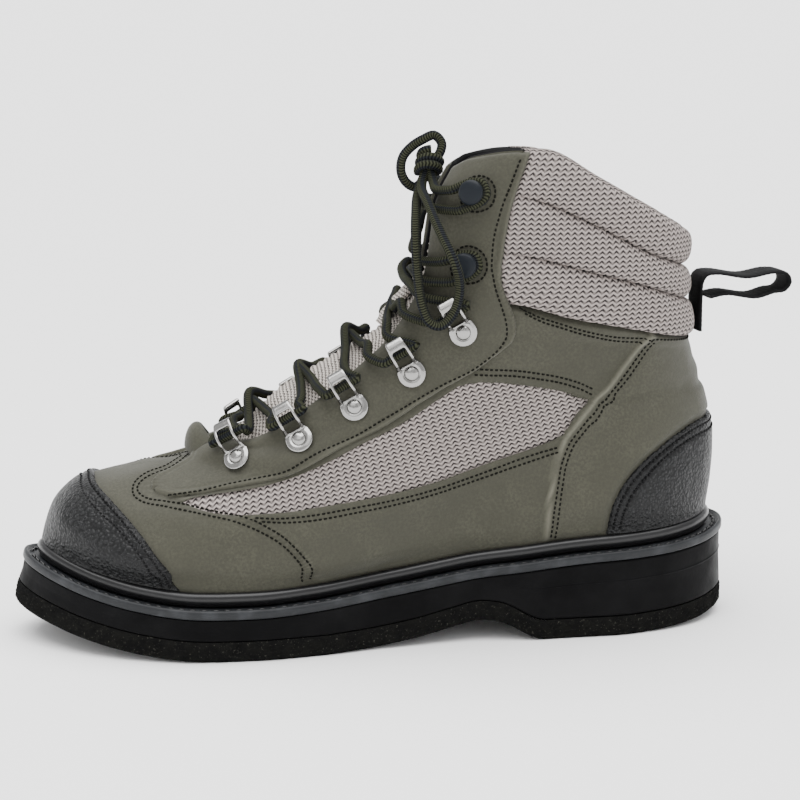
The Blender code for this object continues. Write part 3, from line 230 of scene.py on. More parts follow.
def outwardNormal(turn, row):
    turn, row = np.broadcast_arrays(np.asarray(turn, float), np.asarray(row, float))
    above = row > throatRow
    limit = np.where(above, 0.9999, 2.0)
    along = (form(np.clip(turn + 0.004, -limit, limit), row)
             - form(np.clip(turn - 0.004, -limit, limit), row))
    inside = np.clip(turn, -limit, limit)
    low = np.where(above, np.maximum(row - 0.05, throatRow + 1e-6), row - 0.05)
    high = np.where(above, row + 0.05, np.minimum(row + 0.05, throatRow))
    rise = form(inside, np.clip(high, 0.0, rimRow)) - form(inside, np.clip(low, 0.0, rimRow))
    out = np.cross(rise, along)
    out = np.where((row <= 1.0)[..., None], out * np.array([1.0, 1.0, 0.0]), out)
    return out / np.linalg.norm(out, axis=-1, keepdims=True)


def offset(turn, row, distance):
    return form(turn, row) + outwardNormal(turn, row) * np.asarray(distance)[..., None]


originForward = (sole["length"] - pullLoop["reach"]) / 2.0
sampled = np.linspace(0.0, 1.0, 201)
originOutward = (outlinePoint(sampled, 0.0)[:, 1].max()
                 + outlinePoint(-sampled, 0.0)[:, 1].min()) / 2.0


def toWorld(points):
    points = np.asarray(points, float)
    return np.stack([originForward - points[..., 0], originOutward - points[..., 1],
                     points[..., 2]], axis=-1)


# Mesh piece from points in shoe coordinates and faces that all have as many corners
def meshPiece(name, points, faces, finish, uv=None, fields=None):
    mesh = bpy.data.meshes.new(name)
    faces = np.asarray(faces, int)
    mesh.vertices.add(len(points))
    mesh.vertices.foreach_set("co", toWorld(points).ravel())
    corners = faces.shape[1]
    mesh.loops.add(faces.size)
    mesh.polygons.add(len(faces))
    mesh.polygons.foreach_set("loop_start", np.arange(len(faces)) * corners)
    mesh.loops.foreach_set("vertex_index", faces.ravel())
    mesh.polygons.foreach_set("use_smooth", np.ones(len(faces), bool))
    if uv is not None:
        layer = mesh.uv_layers.new(name="flat")
        layer.data.foreach_set("uv", uv[faces.ravel()].ravel())
    for key, values in (fields or {}).items():
        mesh.attributes.new(key, "FLOAT", "POINT").data.foreach_set("value", values)
    mesh.update(calc_edges=True)
    mesh.validate()
    mesh.materials.append(finish)
    piece = bpy.data.objects.new(name, mesh)
    bpy.context.scene.collection.objects.link(piece)
    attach(piece, "root")
    return piece


def quads(rows, columns, closed=False):
    grid = np.arange(rows * columns).reshape(rows, columns)
    if closed:
        grid = np.column_stack([grid, grid[:, :1]])
    return np.stack([grid[:-1, :-1], grid[:-1, 1:], grid[1:, 1:], grid[1:, :-1]],
                    axis=-1).reshape(-1, 4)


# Fans that close a tube's two ends; its end points come after the points of its rings
def endFans(total, sides):
    ring = np.arange(sides)
    last = ring + total - sides
    return np.concatenate([
        np.column_stack([np.full(sides, total), np.roll(ring, -1), ring]),
        np.column_stack([np.full(sides, total + 1), last, np.roll(last, -1)])])


def triangles(faces):
    return np.concatenate([faces[:, (0, 1, 2)], faces[:, (0, 2, 3)]])


# Keeps the part of a triangle net where a value is above 0, cut straight at 0
def trim(points, faces, value):
    inside = value > 0.0
    count = inside[faces].sum(axis=1)
    whole = faces[count == 3]
    mixed = faces[(count == 1) | (count == 2)]
    few = inside[mixed].sum(axis=1)[:, None] == 1
    lone = np.where(few, inside[mixed], ~inside[mixed]).argmax(axis=1)
    mixed = np.take_along_axis(mixed, (lone[:, None] + np.arange(3)) % 3, axis=1)
    edges = np.sort(np.concatenate([mixed[:, (0, 1)], mixed[:, (0, 2)]]), axis=1)
    keys, number = np.unique(edges, axis=0, return_inverse=True)
    t = (value[keys[:, 0]] / (value[keys[:, 0]] - value[keys[:, 1]]))[:, None]
    added = points[keys[:, 0]] * (1.0 - t) + points[keys[:, 1]] * t
    number = number.ravel() + len(points)
    left, right = number[:len(mixed)], number[len(mixed):]
    tip = inside[mixed[:, 0]]
    a, b, c = mixed.T
    parts = [whole, np.column_stack([a, left, right])[tip],
             np.column_stack([b, c, right])[~tip], np.column_stack([b, right, left])[~tip]]
    used, renumbered = np.unique(np.concatenate(parts), return_inverse=True)
    return np.concatenate([points, added])[used], renumbered.reshape(-1, 3)


# Distance from each point to a line of points, and how far along it the nearest one is
def lineDistance(points, line):
    start, step = line[:-1], np.diff(line, axis=0)
    length = np.linalg.norm(step, axis=1)
    run = runOf(line)
    best = np.full(len(points), np.inf)
    place = np.zeros(len(points))
    for k in range(len(start)):
        t = np.clip((points - start[k]) @ step[k] / max(length[k] ** 2, 1e-18), 0.0, 1.0)
        far = np.linalg.norm(points - start[k] - t[:, None] * step[k], axis=1)
        closer = far < best
        best[closer] = far[closer]
        place[closer] = run[k] + t[closer] * length[k]
    return best, place


def insidePolygon(points, corners):
    hit = np.zeros(len(points), bool)
    for a, b in zip(corners, np.roll(corners, -1, axis=0)):
        crosses = (a[1] > points[:, 1]) != (b[1] > points[:, 1])
        rise = np.where(np.abs(b[1] - a[1]) < 1e-12, 1e-12, b[1] - a[1])
        hit ^= crosses & (points[:, 0] < a[0] + (points[:, 1] - a[1]) * (b[0] - a[0]) / rise)
    return hit


# Even points on a smooth curve through route points
def smoothPath(points, step=None, count=None, samples=600):
    points = np.asarray(points, float)
    root = np.linalg.norm(np.diff(points, axis=0), axis=1) ** 0.5
    run = np.concatenate([[0.0], np.cumsum(root)])
    fine = np.linspace(0.0, run[-1], samples)
    slope = np.gradient(points, run, axis=0)
    index = np.clip(np.searchsorted(run, fine, side="right") - 1, 0, len(run) - 2)
    span = np.diff(run)[index][:, None]
    t = (fine - run[index])[:, None] / span
    line = (points[index] * (1 + 2 * t) * (1 - t) ** 2
            + slope[index] * span * t * (1 - t) ** 2
            + points[index + 1] * t * t * (3 - 2 * t)
            + slope[index + 1] * span * t * t * (t - 1))
    return spread(line, step, count)


def spread(line, step=None, count=None):
    far = runOf(line)
    count = count or max(3, int(round(far[-1] / step)) + 1)
    at = np.linspace(0.0, far[-1], count)
    return np.stack([np.interp(at, far, line[:, k]) for k in range(line.shape[1])], axis=1)


# A seam's turns and levels, smoothed, and their points on the form on one side
def seamLine(table, side, step=0.0012, lift=0.0):
    table = np.asarray(table, float)
    scale = np.array([0.35, 0.012])
    flat = smoothPath(table * scale, count=300) / scale
    point = form(side * flat[:, 0], flat[:, 1])
    far = runOf(point)
    at = np.linspace(0.0, far[-1], max(4, int(far[-1] / step)))
    turn, row = np.interp(at, far, flat[:, 0]), np.interp(at, far, flat[:, 1])
    return turn, row, offset(side * turn, row, np.full(len(turn), lift))


# Materials
def finishOf(name, color, roughness, metallic=0.0, **sockets):
    made = bpy.data.materials.new(name)
    made.use_nodes = True
    shader = made.node_tree.nodes["Principled BSDF"]
    shader.inputs["Base Color"].default_value = (*color, 1.0)
    shader.inputs["Roughness"].default_value = roughness
    shader.inputs["Metallic"].default_value = metallic
    for key, value in sockets.items():
        shader.inputs[key.replace("_", " ")].default_value = value
    return made


olive = finishOf("oliveNubuck", (0.08, 0.078, 0.055), 0.7, Specular_IOR_Level=0.14)
knit = finishOf("knit", (0.42, 0.38, 0.34), 0.85, Specular_IOR_Level=0.15)
lining = finishOf("lining", (0.008, 0.008, 0.0085), 0.95, Specular_IOR_Level=0.05)
pebbled = finishOf("pebbledRubber", (0.009, 0.009, 0.010), 0.42, Specular_IOR_Level=0.22)
rubber = finishOf("midsoleRubber", (0.003, 0.003, 0.0033), 0.5, Specular_IOR_Level=0.05)
weltRubber = finishOf("weltRubber", (0.018, 0.019, 0.021), 0.45, Specular_IOR_Level=0.2)
beadRubber = finishOf("beadRubber", (0.006, 0.006, 0.0065), 0.3, Specular_IOR_Level=0.35)
felt = finishOf("felt", (0.008, 0.008, 0.0075), 0.95, Specular_IOR_Level=0.03)
laceCloth = finishOf("laceCloth", (0.03, 0.034, 0.022), 0.85, Specular_IOR_Level=0.06)
webbing = finishOf("webbing", (0.006, 0.006, 0.0065), 0.85, Specular_IOR_Level=0.12)
nickel = finishOf("nickel", (0.34, 0.335, 0.32), 0.26, 1.0)
hookPlastic = finishOf("hookPlastic", (0.006, 0.008, 0.011), 0.45, Specular_IOR_Level=0.14)

# Camera, light and floor; the camera's place is counted from the boot's heel
studio = {"lens": 96.2, "camera": (-0.2964, -0.8884, 0.2621), "tiltDown": 10.43, "turn": -9.77,
          "worldStrength": 0.95, "overhead": 5.8, "overheadAngle": 70.0,
          "flatFloor": 2.0, "floorSides": 64}
cameraData = bpy.data.cameras.new("camera")
cameraData.sensor_width = 36.0
cameraData.lens = studio["lens"]
cameraData.clip_start = 0.01
camera = bpy.data.objects.new("camera", cameraData)
camera.location = np.array([originForward, originOutward, 0.0]) + studio["camera"]
camera.rotation_euler = Euler((np.radians(90.0 - studio["tiltDown"]), 0.0,
                               np.radians(studio["turn"])))
bpy.context.scene.collection.objects.link(camera)
bpy.context.scene.camera = camera

world = bpy.data.worlds.new("studio")
world.use_nodes = True
background = world.node_tree.nodes["Background"]
background.inputs["Color"].default_value = (1.0, 1.0, 1.0, 1.0)
background.inputs["Strength"].default_value = studio["worldStrength"]
bpy.context.scene.world = world
# The floor is flat for two metres round the boot, then rises gently, so no horizon shows
sides = studio["floorSides"]
floorAngles = 2.0 * np.pi * np.arange(sides) / sides
floorRadii = np.concatenate([[0.5, 1.2, 2.0], np.linspace(2.2, 4.0, 10), [7.0, 14.0, 40.0]])
beyond = np.clip(floorRadii - studio["flatFloor"], 0.0, None)
floorRise = 0.24 * beyond ** 2 / (beyond + 1.2)
floorPoints = np.stack([floorRadii[:, None] * np.cos(floorAngles),
                        floorRadii[:, None] * np.sin(floorAngles),
                        np.broadcast_to(floorRise[:, None], (len(floorRise), sides))], axis=-1)
strip = quads(len(floorRise), sides, closed=True)[:, ::-1]
floorMesh = bpy.data.meshes.new("floor")
floorMesh.from_pydata(floorPoints.reshape(-1, 3).tolist(), [],
                      [tuple(range(sides)), *map(tuple, strip.tolist())])
floorMesh.polygons.foreach_set("use_smooth", np.ones(len(strip) + 1, bool))
floorMesh.materials.append(finishOf("paper", (0.95, 0.95, 0.95), 0.95))
floor = bpy.data.objects.new("floor", floorMesh)
bpy.context.scene.collection.objects.link(floor)


def softLight(name, place, aim, size, power):
    data = bpy.data.lights.new(name, "AREA")
    data.size = size
    data.energy = power
    lamp = bpy.data.objects.new(name, data)
    lamp.location = place
    way = np.array(aim) - np.array(place)
    lamp.rotation_euler = (np.arctan2(np.hypot(way[0], way[1]), -way[2]), 0.0,
                           np.arctan2(-way[0], way[1]))
    bpy.context.scene.collection.objects.link(lamp)


softLight("key", (-0.55, -0.8, 1.05), (0, 0, 0.08), 0.8, 3.2)
softLight("fill", (0.8, -0.8, 0.6), (0, 0, 0.08), 0.9, 1.0)
overhead = bpy.data.lights.new("overhead", "SUN")
overhead.energy = studio["overhead"]
overhead.angle = np.radians(studio["overheadAngle"])
bpy.context.scene.collection.objects.link(bpy.data.objects.new("overhead", overhead))
print("stage: camera, light, floor")

# Lace and bow. "clear" is the play at a ring; "turn" and "away" place it round a hook
lace = {"radius": 0.002, "tunnel": 0.63, "step": 0.50, "clear": 0.0007, "turn": 0.0045,
        "away": 0.0062, "sides": 12}

# The bow's loops, routes as in the model: shares of length, collar width and height
bowLong = (
    (0.445, 0.221, 0.924), (0.444, 0.388, 0.892), (0.434, 0.556, 0.834),
    (0.422, 0.636, 0.787), (0.414, 0.618, 0.743), (0.417, 0.595, 0.698),
    (0.427, 0.588, 0.671), (0.439, 0.582, 0.659), (0.451, 0.564, 0.666),
    (0.459, 0.528, 0.696), (0.462, 0.463, 0.751), (0.463, 0.425, 0.812),
    (0.459, 0.340, 0.868), (0.448, 0.184, 0.912))
bowFront = (
    (0.449, 0.125, 0.918), (0.462, 0.131, 0.928), (0.469, 0.131, 0.950),
    (0.466, 0.119, 0.978), (0.453, 0.113, 1.000), (0.438, 0.119, 1.014),
    (0.423, 0.119, 1.022), (0.4135, 0.131, 1.006), (0.4170, 0.149, 0.9865))
bootScale = np.array([sole["length"], upper["collarWidth"], bootHeight])


# Round tube along a path: each ring turned with the least twist from the one before
def sweep(name, path, radius, finish):
    sides = lace["sides"]
    along = unit(np.gradient(path, axis=0))
    first = np.zeros_like(path)
    first[0] = unit(np.cross(along[0], (0.3, 0.2, 1.0)))
    for k in range(1, len(path)):
        first[k] = unit(first[k - 1] - along[k] * first[k - 1].dot(along[k]))
    second = np.cross(along, first)
    angle = 2.0 * np.pi * np.arange(sides) / sides
    far = runOf(path)
    points = path[:, None] + radius * (np.cos(angle)[:, None] * first[:, None]
                                       + np.sin(angle)[:, None] * second[:, None])
    flat = np.stack(np.broadcast_arrays(angle / (2 * np.pi), far[:, None]), axis=-1)
    faces = np.concatenate([triangles(quads(len(path), sides, closed=True)),
                            endFans(len(path) * sides, sides)])
    uv = np.concatenate([flat.reshape(-1, 2), [[0.5, far[0]], [0.5, far[-1]]]])
    return meshPiece(name, np.concatenate([points.reshape(-1, 3), path[:1], path[-1:]]),
                     faces, finish, uv=uv)


for name, table, count in (("bow_loop_long", bowLong, 150), ("bow_loop_front", bowFront, 60)):
    joins = ([(0.437, 0.135, 0.938)], [(0.424, 0.150, 0.974)]) if table is bowFront else ([], [])
    table = [(0.434, 0.150, 0.960), *joins[0], *table, *joins[1], (0.432, 0.150, 0.964)]
    route = smoothPath(np.array(table) * bootScale, count=count)
    piece = sweep(name + "_cord", route, lace["radius"], laceCloth)
    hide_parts(name)
print("stage: cords")

# Seams on the outer side, as turns and level heights; the inner side repeats them
vampSeam = (
    (1.060, 6.45), (1.000, 6.10), (0.965, 5.60), (0.931, 4.99), (0.909, 4.67),
    (0.885, 4.41), (0.862, 4.22), (0.841, 4.09), (0.817, 4.05), (0.787, 4.07),
    (0.758, 4.09), (0.734, 3.98), (0.702, 3.67), (0.678, 3.32), (0.649, 2.84),
    (0.622, 2.36), (0.603, 1.90), (0.584, 1.40), (0.568, 0.80), (0.559, 0.30))
meshEdge = (
    (0.793, 4.25), (0.784, 4.57), (0.768, 4.81), (0.740, 5.17), (0.713, 5.63),
    (0.684, 6.17), (0.646, 6.77), (0.622, 7.35), (0.610, 7.95), (0.597, 8.50),
    (0.580, 8.99), (0.561, 9.07), (0.505, 8.89), (0.447, 8.53), (0.390, 8.01),
    (0.330, 7.01), (0.351, 5.87), (0.364, 4.99), (0.383, 4.81), (0.404, 4.67),
    (0.444, 4.49), (0.490, 4.24), (0.519, 4.17), (0.574, 4.11), (0.625, 4.05),
    (0.641, 4.01), (0.678, 4.02), (0.696, 4.01), (0.740, 4.10))
heelPipe = (
    (0.250, 11.00), (0.262, 10.90), (0.281, 10.27), (0.297, 9.25), (0.314, 7.91),
    (0.327, 6.75), (0.349, 5.57), (0.362, 4.89), (0.365, 4.31), (0.364, 3.04),
    (0.360, 2.22), (0.360, 1.02), (0.360, 0.30))

# Finishes with grain, weave and wear come from these node helpers
def addNode(tree, kind, links=None, **settings):
    made = tree.nodes.new(kind)
    for key, value in settings.items():
        setattr(made, key, value)
    for key, value in (links or {}).items():
        if isinstance(value, bpy.types.NodeSocket):
            tree.links.new(value, made.inputs[key])
        else:
            made.inputs[key].default_value = value
    return made


def calc(tree, operation, *values):
    return addNode(tree, "ShaderNodeMath", dict(enumerate(values)), operation=operation).outputs[0]


def noise(tree, scale, detail=3.0, rough=0.55):
    place = tree.nodes.new("ShaderNodeTexCoord").outputs["Object"]
    return addNode(tree, "ShaderNodeTexNoise", {"Vector": place, "Scale": scale, "Detail": detail,
                                                "Roughness": rough}).outputs["Fac"]


def blendColor(tree, share, first, second):
    made = addNode(tree, "ShaderNodeMix", {0: share}, data_type="RGBA")
    for socket, value in ((6, first), (7, second)):
        if isinstance(value, bpy.types.NodeSocket):
            tree.links.new(value, made.inputs[socket])
        else:
            made.inputs[socket].default_value = (*value, 1.0)
    return made.outputs[2]


def remap(tree, value, low, high, start=0.0, end=1.0):
    return addNode(tree, "ShaderNodeMapRange", {"Value": value, "From Min": low, "From Max": high,
                                                "To Min": start, "To Max": end},
                   interpolation_type="SMOOTHSTEP").outputs[0]


def bumpOn(material, height, distance, strength=1.0, under=None):
    tree = material.node_tree
    links = {"Height": height, "Distance": distance, "Strength": strength}
    if under is not None:
        links["Normal"] = under
    made = addNode(tree, "ShaderNodeBump", links)
    tree.links.new(made.outputs["Normal"], tree.nodes["Principled BSDF"].inputs["Normal"])
    return made.outputs["Normal"]


def colorOn(material, color):
    tree = material.node_tree
    tree.links.new(color, tree.nodes["Principled BSDF"].inputs["Base Color"])


def roughOn(material, value):
    tree = material.node_tree
    tree.links.new(value, tree.nodes["Principled BSDF"].inputs["Roughness"])


# Nubuck: cloudy color, fine nap, and folded edges lighter: rubbed a little lighter by wear on most
# edges, with a strong painted highlight along the heel piping
tree = olive.node_tree
cloud = blendColor(tree, remap(tree, noise(tree, 55.0, 4.0), 0.35, 0.68), (0.045, 0.0442, 0.0322),
                   (0.055, 0.0540, 0.0395))
fleck = blendColor(tree, remap(tree, noise(tree, 900.0, 2.0), 0.30, 0.75), (0.039, 0.0383, 0.0280),
                   cloud)
# Edge attribute: mild rubbed wear on folded edges, plus a painted highlight along the heel
# piping's crest
wearAndHighlight = addNode(tree, "ShaderNodeAttribute", attribute_name="wearAndHighlight").outputs["Fac"]
colorOn(olive, blendColor(tree, wearAndHighlight, fleck, (0.19, 0.185, 0.145)))
nap = bumpOn(olive, noise(tree, 2600.0, 2.0), 0.0002, 0.5)
bumpOn(olive, noise(tree, 420.0, 3.0), 0.0003, 0.35, nap)
olive.node_tree.nodes["Principled BSDF"].inputs["Sheen Weight"].default_value = 0.12
olive.node_tree.nodes["Principled BSDF"].inputs["Sheen Roughness"].default_value = 0.5


# Knit: light zigzag yarns over a dark ground.
# share = sin(2 pi (v / row + swing * triangle(u / wave)))
def weave(material, row, wave, swing, light, dark):
    tree = material.node_tree
    flat = addNode(tree, "ShaderNodeUVMap", uv_map="flat").outputs["UV"]
    part = addNode(tree, "ShaderNodeSeparateXYZ", {"Vector": flat})
    across, up = part.outputs["X"], part.outputs["Y"]
    wander = calc(tree, "MULTIPLY", calc(tree, "SUBTRACT", noise(tree, 160.0, 2.0), 0.5), 0.35)
    saw = calc(tree, "PINGPONG", calc(tree, "MULTIPLY", across, 2.0 / wave), 1.0)
    phase = calc(tree, "ADD", calc(tree, "MULTIPLY_ADD", up, 1.0 / row, wander),
                 calc(tree, "MULTIPLY", saw, swing))
    ripple = calc(tree, "SINE", calc(tree, "MULTIPLY", phase, 2.0 * np.pi))
    yarn = remap(tree, ripple, -0.75, 0.45)
    hole = calc(tree, "MULTIPLY", calc(tree, "SUBTRACT", 1.0, yarn),
                remap(tree, saw, 0.95, 0.25, 0.55, 1.0))
    fibre = blendColor(tree, remap(tree, noise(tree, 2400.0, 2.0), 0.3, 0.7),
                       tuple(0.8 * c for c in light), light)
    colorOn(material, blendColor(tree, hole, fibre, dark))
    bumpOn(material, calc(tree, "MULTIPLY_ADD", noise(tree, 2400.0, 2.0), 0.25, yarn), 0.0006, 0.9)


weave(knit, 0.0018, 0.0031, 0.60, (0.34, 0.296, 0.277), (0.022, 0.019, 0.019))
tongueKnit = finishOf("tongueKnit", (0.42, 0.38, 0.34), 0.9, Specular_IOR_Level=0.15)
weave(tongueKnit, 0.0017, 0.0016, 0.45, (0.58, 0.53, 0.48), (0.045, 0.04, 0.037))

# Pebbled rubber: shallow blisters of two sizes under a soft gloss, with painted shade in the
# hollows between them
tree = pebbled.node_tree
place = tree.nodes.new("ShaderNodeTexCoord").outputs["Object"]
warp = addNode(tree, "ShaderNodeTexNoise", {"Vector": place, "Scale": 300.0, "Detail": 2.0})
bent = addNode(tree, "ShaderNodeVectorMath",
               {0: warp.outputs["Color"], 1: (0.0016, 0.0016, 0.0016)}, operation="MULTIPLY")
spot = addNode(tree, "ShaderNodeVectorMath", {0: place, 1: bent.outputs[0]}, operation="ADD")
cell = addNode(tree, "ShaderNodeTexVoronoi", {"Vector": spot.outputs[0], "Scale": 760.0},
               feature="SMOOTH_F1")
cell.inputs["Smoothness"].default_value = 0.6
blister = calc(tree, "SUBTRACT", 1.0, remap(tree, cell.outputs["Distance"], 0.1, 0.75))
large = remap(tree, noise(tree, 190.0, 3.0), 0.35, 0.7)
low = bumpOn(pebbled, calc(tree, "MULTIPLY_ADD", large, 0.6, blister), 0.0005, 0.7)
bumpOn(pebbled, noise(tree, 1800.0, 2.0), 0.0002, 0.4, low)
# Painted shade and highlight: the colour darkens in the hollows between blisters and lightens on
# their tops
colorOn(pebbled, blendColor(tree, blister, (0.0025, 0.0026, 0.0028), (0.009, 0.0094, 0.010)))
roughOn(pebbled, remap(tree, noise(tree, 700.0, 3.0), 0.2, 0.8, 0.34, 0.56))

# Midsole rubber: nearly black, faintly scuffed along its side
tree = rubber.node_tree
colorOn(rubber, blendColor(tree, remap(tree, noise(tree, 35.0, 5.0), 0.4, 0.75),
                           (0.0018, 0.0018, 0.002), (0.0045, 0.0045, 0.0048)))
bumpOn(rubber, noise(tree, 500.0, 4.0), 0.0003, 0.3)
roughOn(rubber, remap(tree, noise(tree, 90.0, 5.0), 0.3, 0.75, 0.42, 0.62))
tree = weltRubber.node_tree
colorOn(weltRubber, blendColor(tree, remap(tree, noise(tree, 120.0, 4.0), 0.4, 0.8),
                               (0.012, 0.013, 0.0145), (0.028, 0.030, 0.033)))
bumpOn(weltRubber, noise(tree, 900.0, 3.0), 0.0002, 0.3)

# Felt: matted fibres with pale flecks
tree = felt.node_tree
fuzz = noise(tree, 1500.0, 4.0, 0.7)
flecks = remap(tree, noise(tree, 1100.0, 2.0, 0.6), 0.62, 0.72)
base = blendColor(tree, remap(tree, noise(tree, 260.0, 3.0), 0.3, 0.7), (0.006, 0.006, 0.006),
                  (0.009, 0.009, 0.0082))
colorOn(felt, blendColor(tree, calc(tree, "MULTIPLY", flecks, 0.55), base, (0.085, 0.083, 0.07)))
bumpOn(felt, fuzz, 0.0011, 1.0)
for finish, size in ((lining, 1800.0), (webbing, 1500.0)):
    bumpOn(finish, noise(finish.node_tree, size, 2.0), 0.0003, 0.6)

# Lace: three black stripes round the cord, and slanted olive ribs between them; both are painted
# darker in the grooves between the ribs as painted shade
tree = laceCloth.node_tree
flat = addNode(tree, "ShaderNodeUVMap", uv_map="flat").outputs["UV"]
part = addNode(tree, "ShaderNodeSeparateXYZ", {"Vector": flat})
turnShare, run = part.outputs["X"], part.outputs["Y"]
stripe = calc(tree, "COSINE", calc(tree, "MULTIPLY", turnShare, 6.0 * np.pi))
black = remap(tree, stripe, 0.05, 0.35)
zigzag = calc(tree, "PINGPONG", calc(tree, "MULTIPLY", turnShare, 6.0), 1.0)
slant = calc(tree, "MULTIPLY", zigzag, 0.5)
rib = calc(tree, "SINE", calc(tree, "MULTIPLY",
                              calc(tree, "MULTIPLY_ADD", run, 1.0 / 0.00105, slant), 2.0 * np.pi))
ridge = remap(tree, rib, -0.7, 0.6)
# The stripes and ribs are the cord's pattern; the darker colour in the grooves between ribs is
# painted shade
olives = blendColor(tree, ridge, (0.006, 0.0065, 0.0042), (0.034, 0.036, 0.0225))
blacks = blendColor(tree, ridge, (0.004, 0.004, 0.005), (0.016, 0.018, 0.02))
colorOn(laceCloth, blendColor(tree, black, olives, blacks))
bumpOn(laceCloth, ridge, 0.00018, 0.8)

thread = finishOf("thread", (0.006, 0.0062, 0.0048), 0.75, Specular_IOR_Level=0.06)
blackThread = finishOf("blackThread", (0.004, 0.004, 0.0042), 0.6, Specular_IOR_Level=0.1)
bindingCloth = finishOf("bindingCloth", (0.006, 0.006, 0.0065), 0.85, Specular_IOR_Level=0.08)
bumpOn(bindingCloth, noise(bindingCloth.node_tree, 1600.0, 2.0), 0.0003, 0.6)
tree = nickel.node_tree
bumpOn(nickel, noise(tree, 240.0, 3.0), 0.0002, 0.25)
roughOn(nickel, remap(tree, noise(tree, 500.0, 3.0), 0.3, 0.8, 0.14, 0.32))
# Painted dark reflection: the base colour turns dark grey towards the rims, where the surface
# faces away from the view
facing = addNode(tree, "ShaderNodeLayerWeight", {"Blend": 0.45}).outputs["Facing"]
colorOn(nickel, blendColor(tree, remap(tree, facing, 0.25, 0.85), (0.31, 0.305, 0.295),
                           (0.06, 0.06, 0.06)))


# Lines beside a seam on the form: (dturn, drow) solves dP/dturn a + dP/drow b = distance N x T
def beside(table, side, distance, lift, step=0.0012):
    turn, row, line = seamLine(table, side, step)
    normal = outwardNormal(side * turn, row)
    along = unit(np.gradient(line, axis=0))
    way = np.cross(normal, along) * distance * side
    dTurn = (form(side * (turn + 0.002), row) - form(side * (turn - 0.002), row)) / 0.004
    dRow = (form(side * turn, np.clip(row + 0.02, 0, rimRow))
            - form(side * turn, np.clip(row - 0.02, 0, rimRow)))
    reach = np.clip(row + 0.02, 0, rimRow) - np.clip(row - 0.02, 0, rimRow)
    dRow /= np.maximum(reach, 0.01)[:, None]
    aa, bb, ab = (dTurn ** 2).sum(1), (dRow ** 2).sum(1), (dTurn * dRow).sum(1)
    aw, bw = (dTurn * way).sum(1), (dRow * way).sum(1)
    size = aa * bb - ab ** 2
    turn = turn + (bb * aw - ab * bw) / size
    row = np.clip(row + (aa * bw - ab * aw) / size, 0.0, rimRow)
    return turn, row, offset(side * turn, row, np.broadcast_to(lift, turn.shape))


def signedSeam(table, turn, row, points, close=None):
    corners = np.array(list(table) + list(close or ()))
    inside = insidePolygon(np.column_stack([np.abs(turn), row]), corners)
    far = np.full(len(turn), np.inf)
    for side in (1.0, -1.0):
        mine = np.where(turn * side >= -0.02)[0]
        line = seamLine(table, side, 0.002)[2]
        near = lineDistance(points[mine], line)[0]
        far[mine] = np.minimum(far[mine], near)
    return np.where(inside, far, -far)


# Rise of a folded edge with its distance in from the edge: a quarter round of this radius
def foldedEdge(distance, radius):
    share = np.clip(distance / radius, 0.0, 1.0)
    return np.sqrt(np.clip(1.0 - (1.0 - share) ** 2, 0.0, 1.0))


def groove(distance, width):
    return np.exp(-(distance / width) ** 2)


stitchSets = {}


# Short round threads laid end to end along a line, dipping into the piece at both ends
def stitches(key, line, normal, pitch=0.0021, share=0.76, radius=0.00036, lift=0.0):
    run = runOf(line)
    count = int(run[-1] / pitch)
    if count < 1:
        return
    at = (np.arange(count) + 0.5) * pitch + rng.normal(0.0, 0.00006, count)

    def read(values, where):
        return np.stack([np.interp(where, run, values[:, k]) for k in range(3)], axis=1)

    lengths = pitch * share * (1.0 + rng.normal(0.0, 0.04, count))
    rings = []
    for t, size, dip in ((-0.5, 0.35, -0.9), (-0.36, 0.9, -0.15), (0.0, 1.0, 0.12),
                         (0.36, 0.9, -0.15), (0.5, 0.35, -0.9)):
        place, out = read(line, at + t * lengths), read(normal, at)
        out = unit(out)
        along = read(line, at + 0.0004) - read(line, at - 0.0004)
        along = unit(along, 1e-12)
        sideways = np.cross(out, along)
        angle = 2.0 * np.pi * (np.arange(6) + 0.5) / 6
        middle = place + out * (lift + dip * radius)
        rings.append(middle[:, None] + size * radius * (
            np.cos(angle)[None, :, None] * sideways[:, None] * 1.25
            + np.sin(angle)[None, :, None] * out[:, None]))
    points = np.stack(rings, axis=1)
    caps = np.array([[0, 5, 4, 3], [0, 3, 2, 1], [24, 25, 26, 27], [24, 27, 28, 29]])
    faces = np.concatenate([quads(5, 6, closed=True), caps])
    stitchSets.setdefault(key, []).append((points.reshape(-1, 3), faces, count))


def stitchSeam(key, table, side, distance, lift, **more):
    turn, row, line = beside(table, side, distance, 0.0)
    signedTurn = side * turn
    height = lift(signedTurn, row, form(signedTurn, row)) if callable(lift) else lift
    line = offset(signedTurn, row, np.broadcast_to(height, turn.shape))
    good = (row > 0.9) & (row < rimRow - 0.02)
    if good.sum() > 4:
        stitches(key, line[good], outwardNormal(side * turn, row)[good], **more)


def finishStitches(key, name, finish, slot, *nodes):
    points, faces, total = [], [], 0
    for part, pattern, count in stitchSets.pop(key):
        shift = np.arange(count)[:, None, None] * 30 + total
        points.append(part)
        faces.append((pattern[None] + shift).reshape(-1, 4))
        total += len(part)
    piece = meshPiece(name, np.concatenate(points), np.concatenate(faces), finish)
    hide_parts(*nodes)


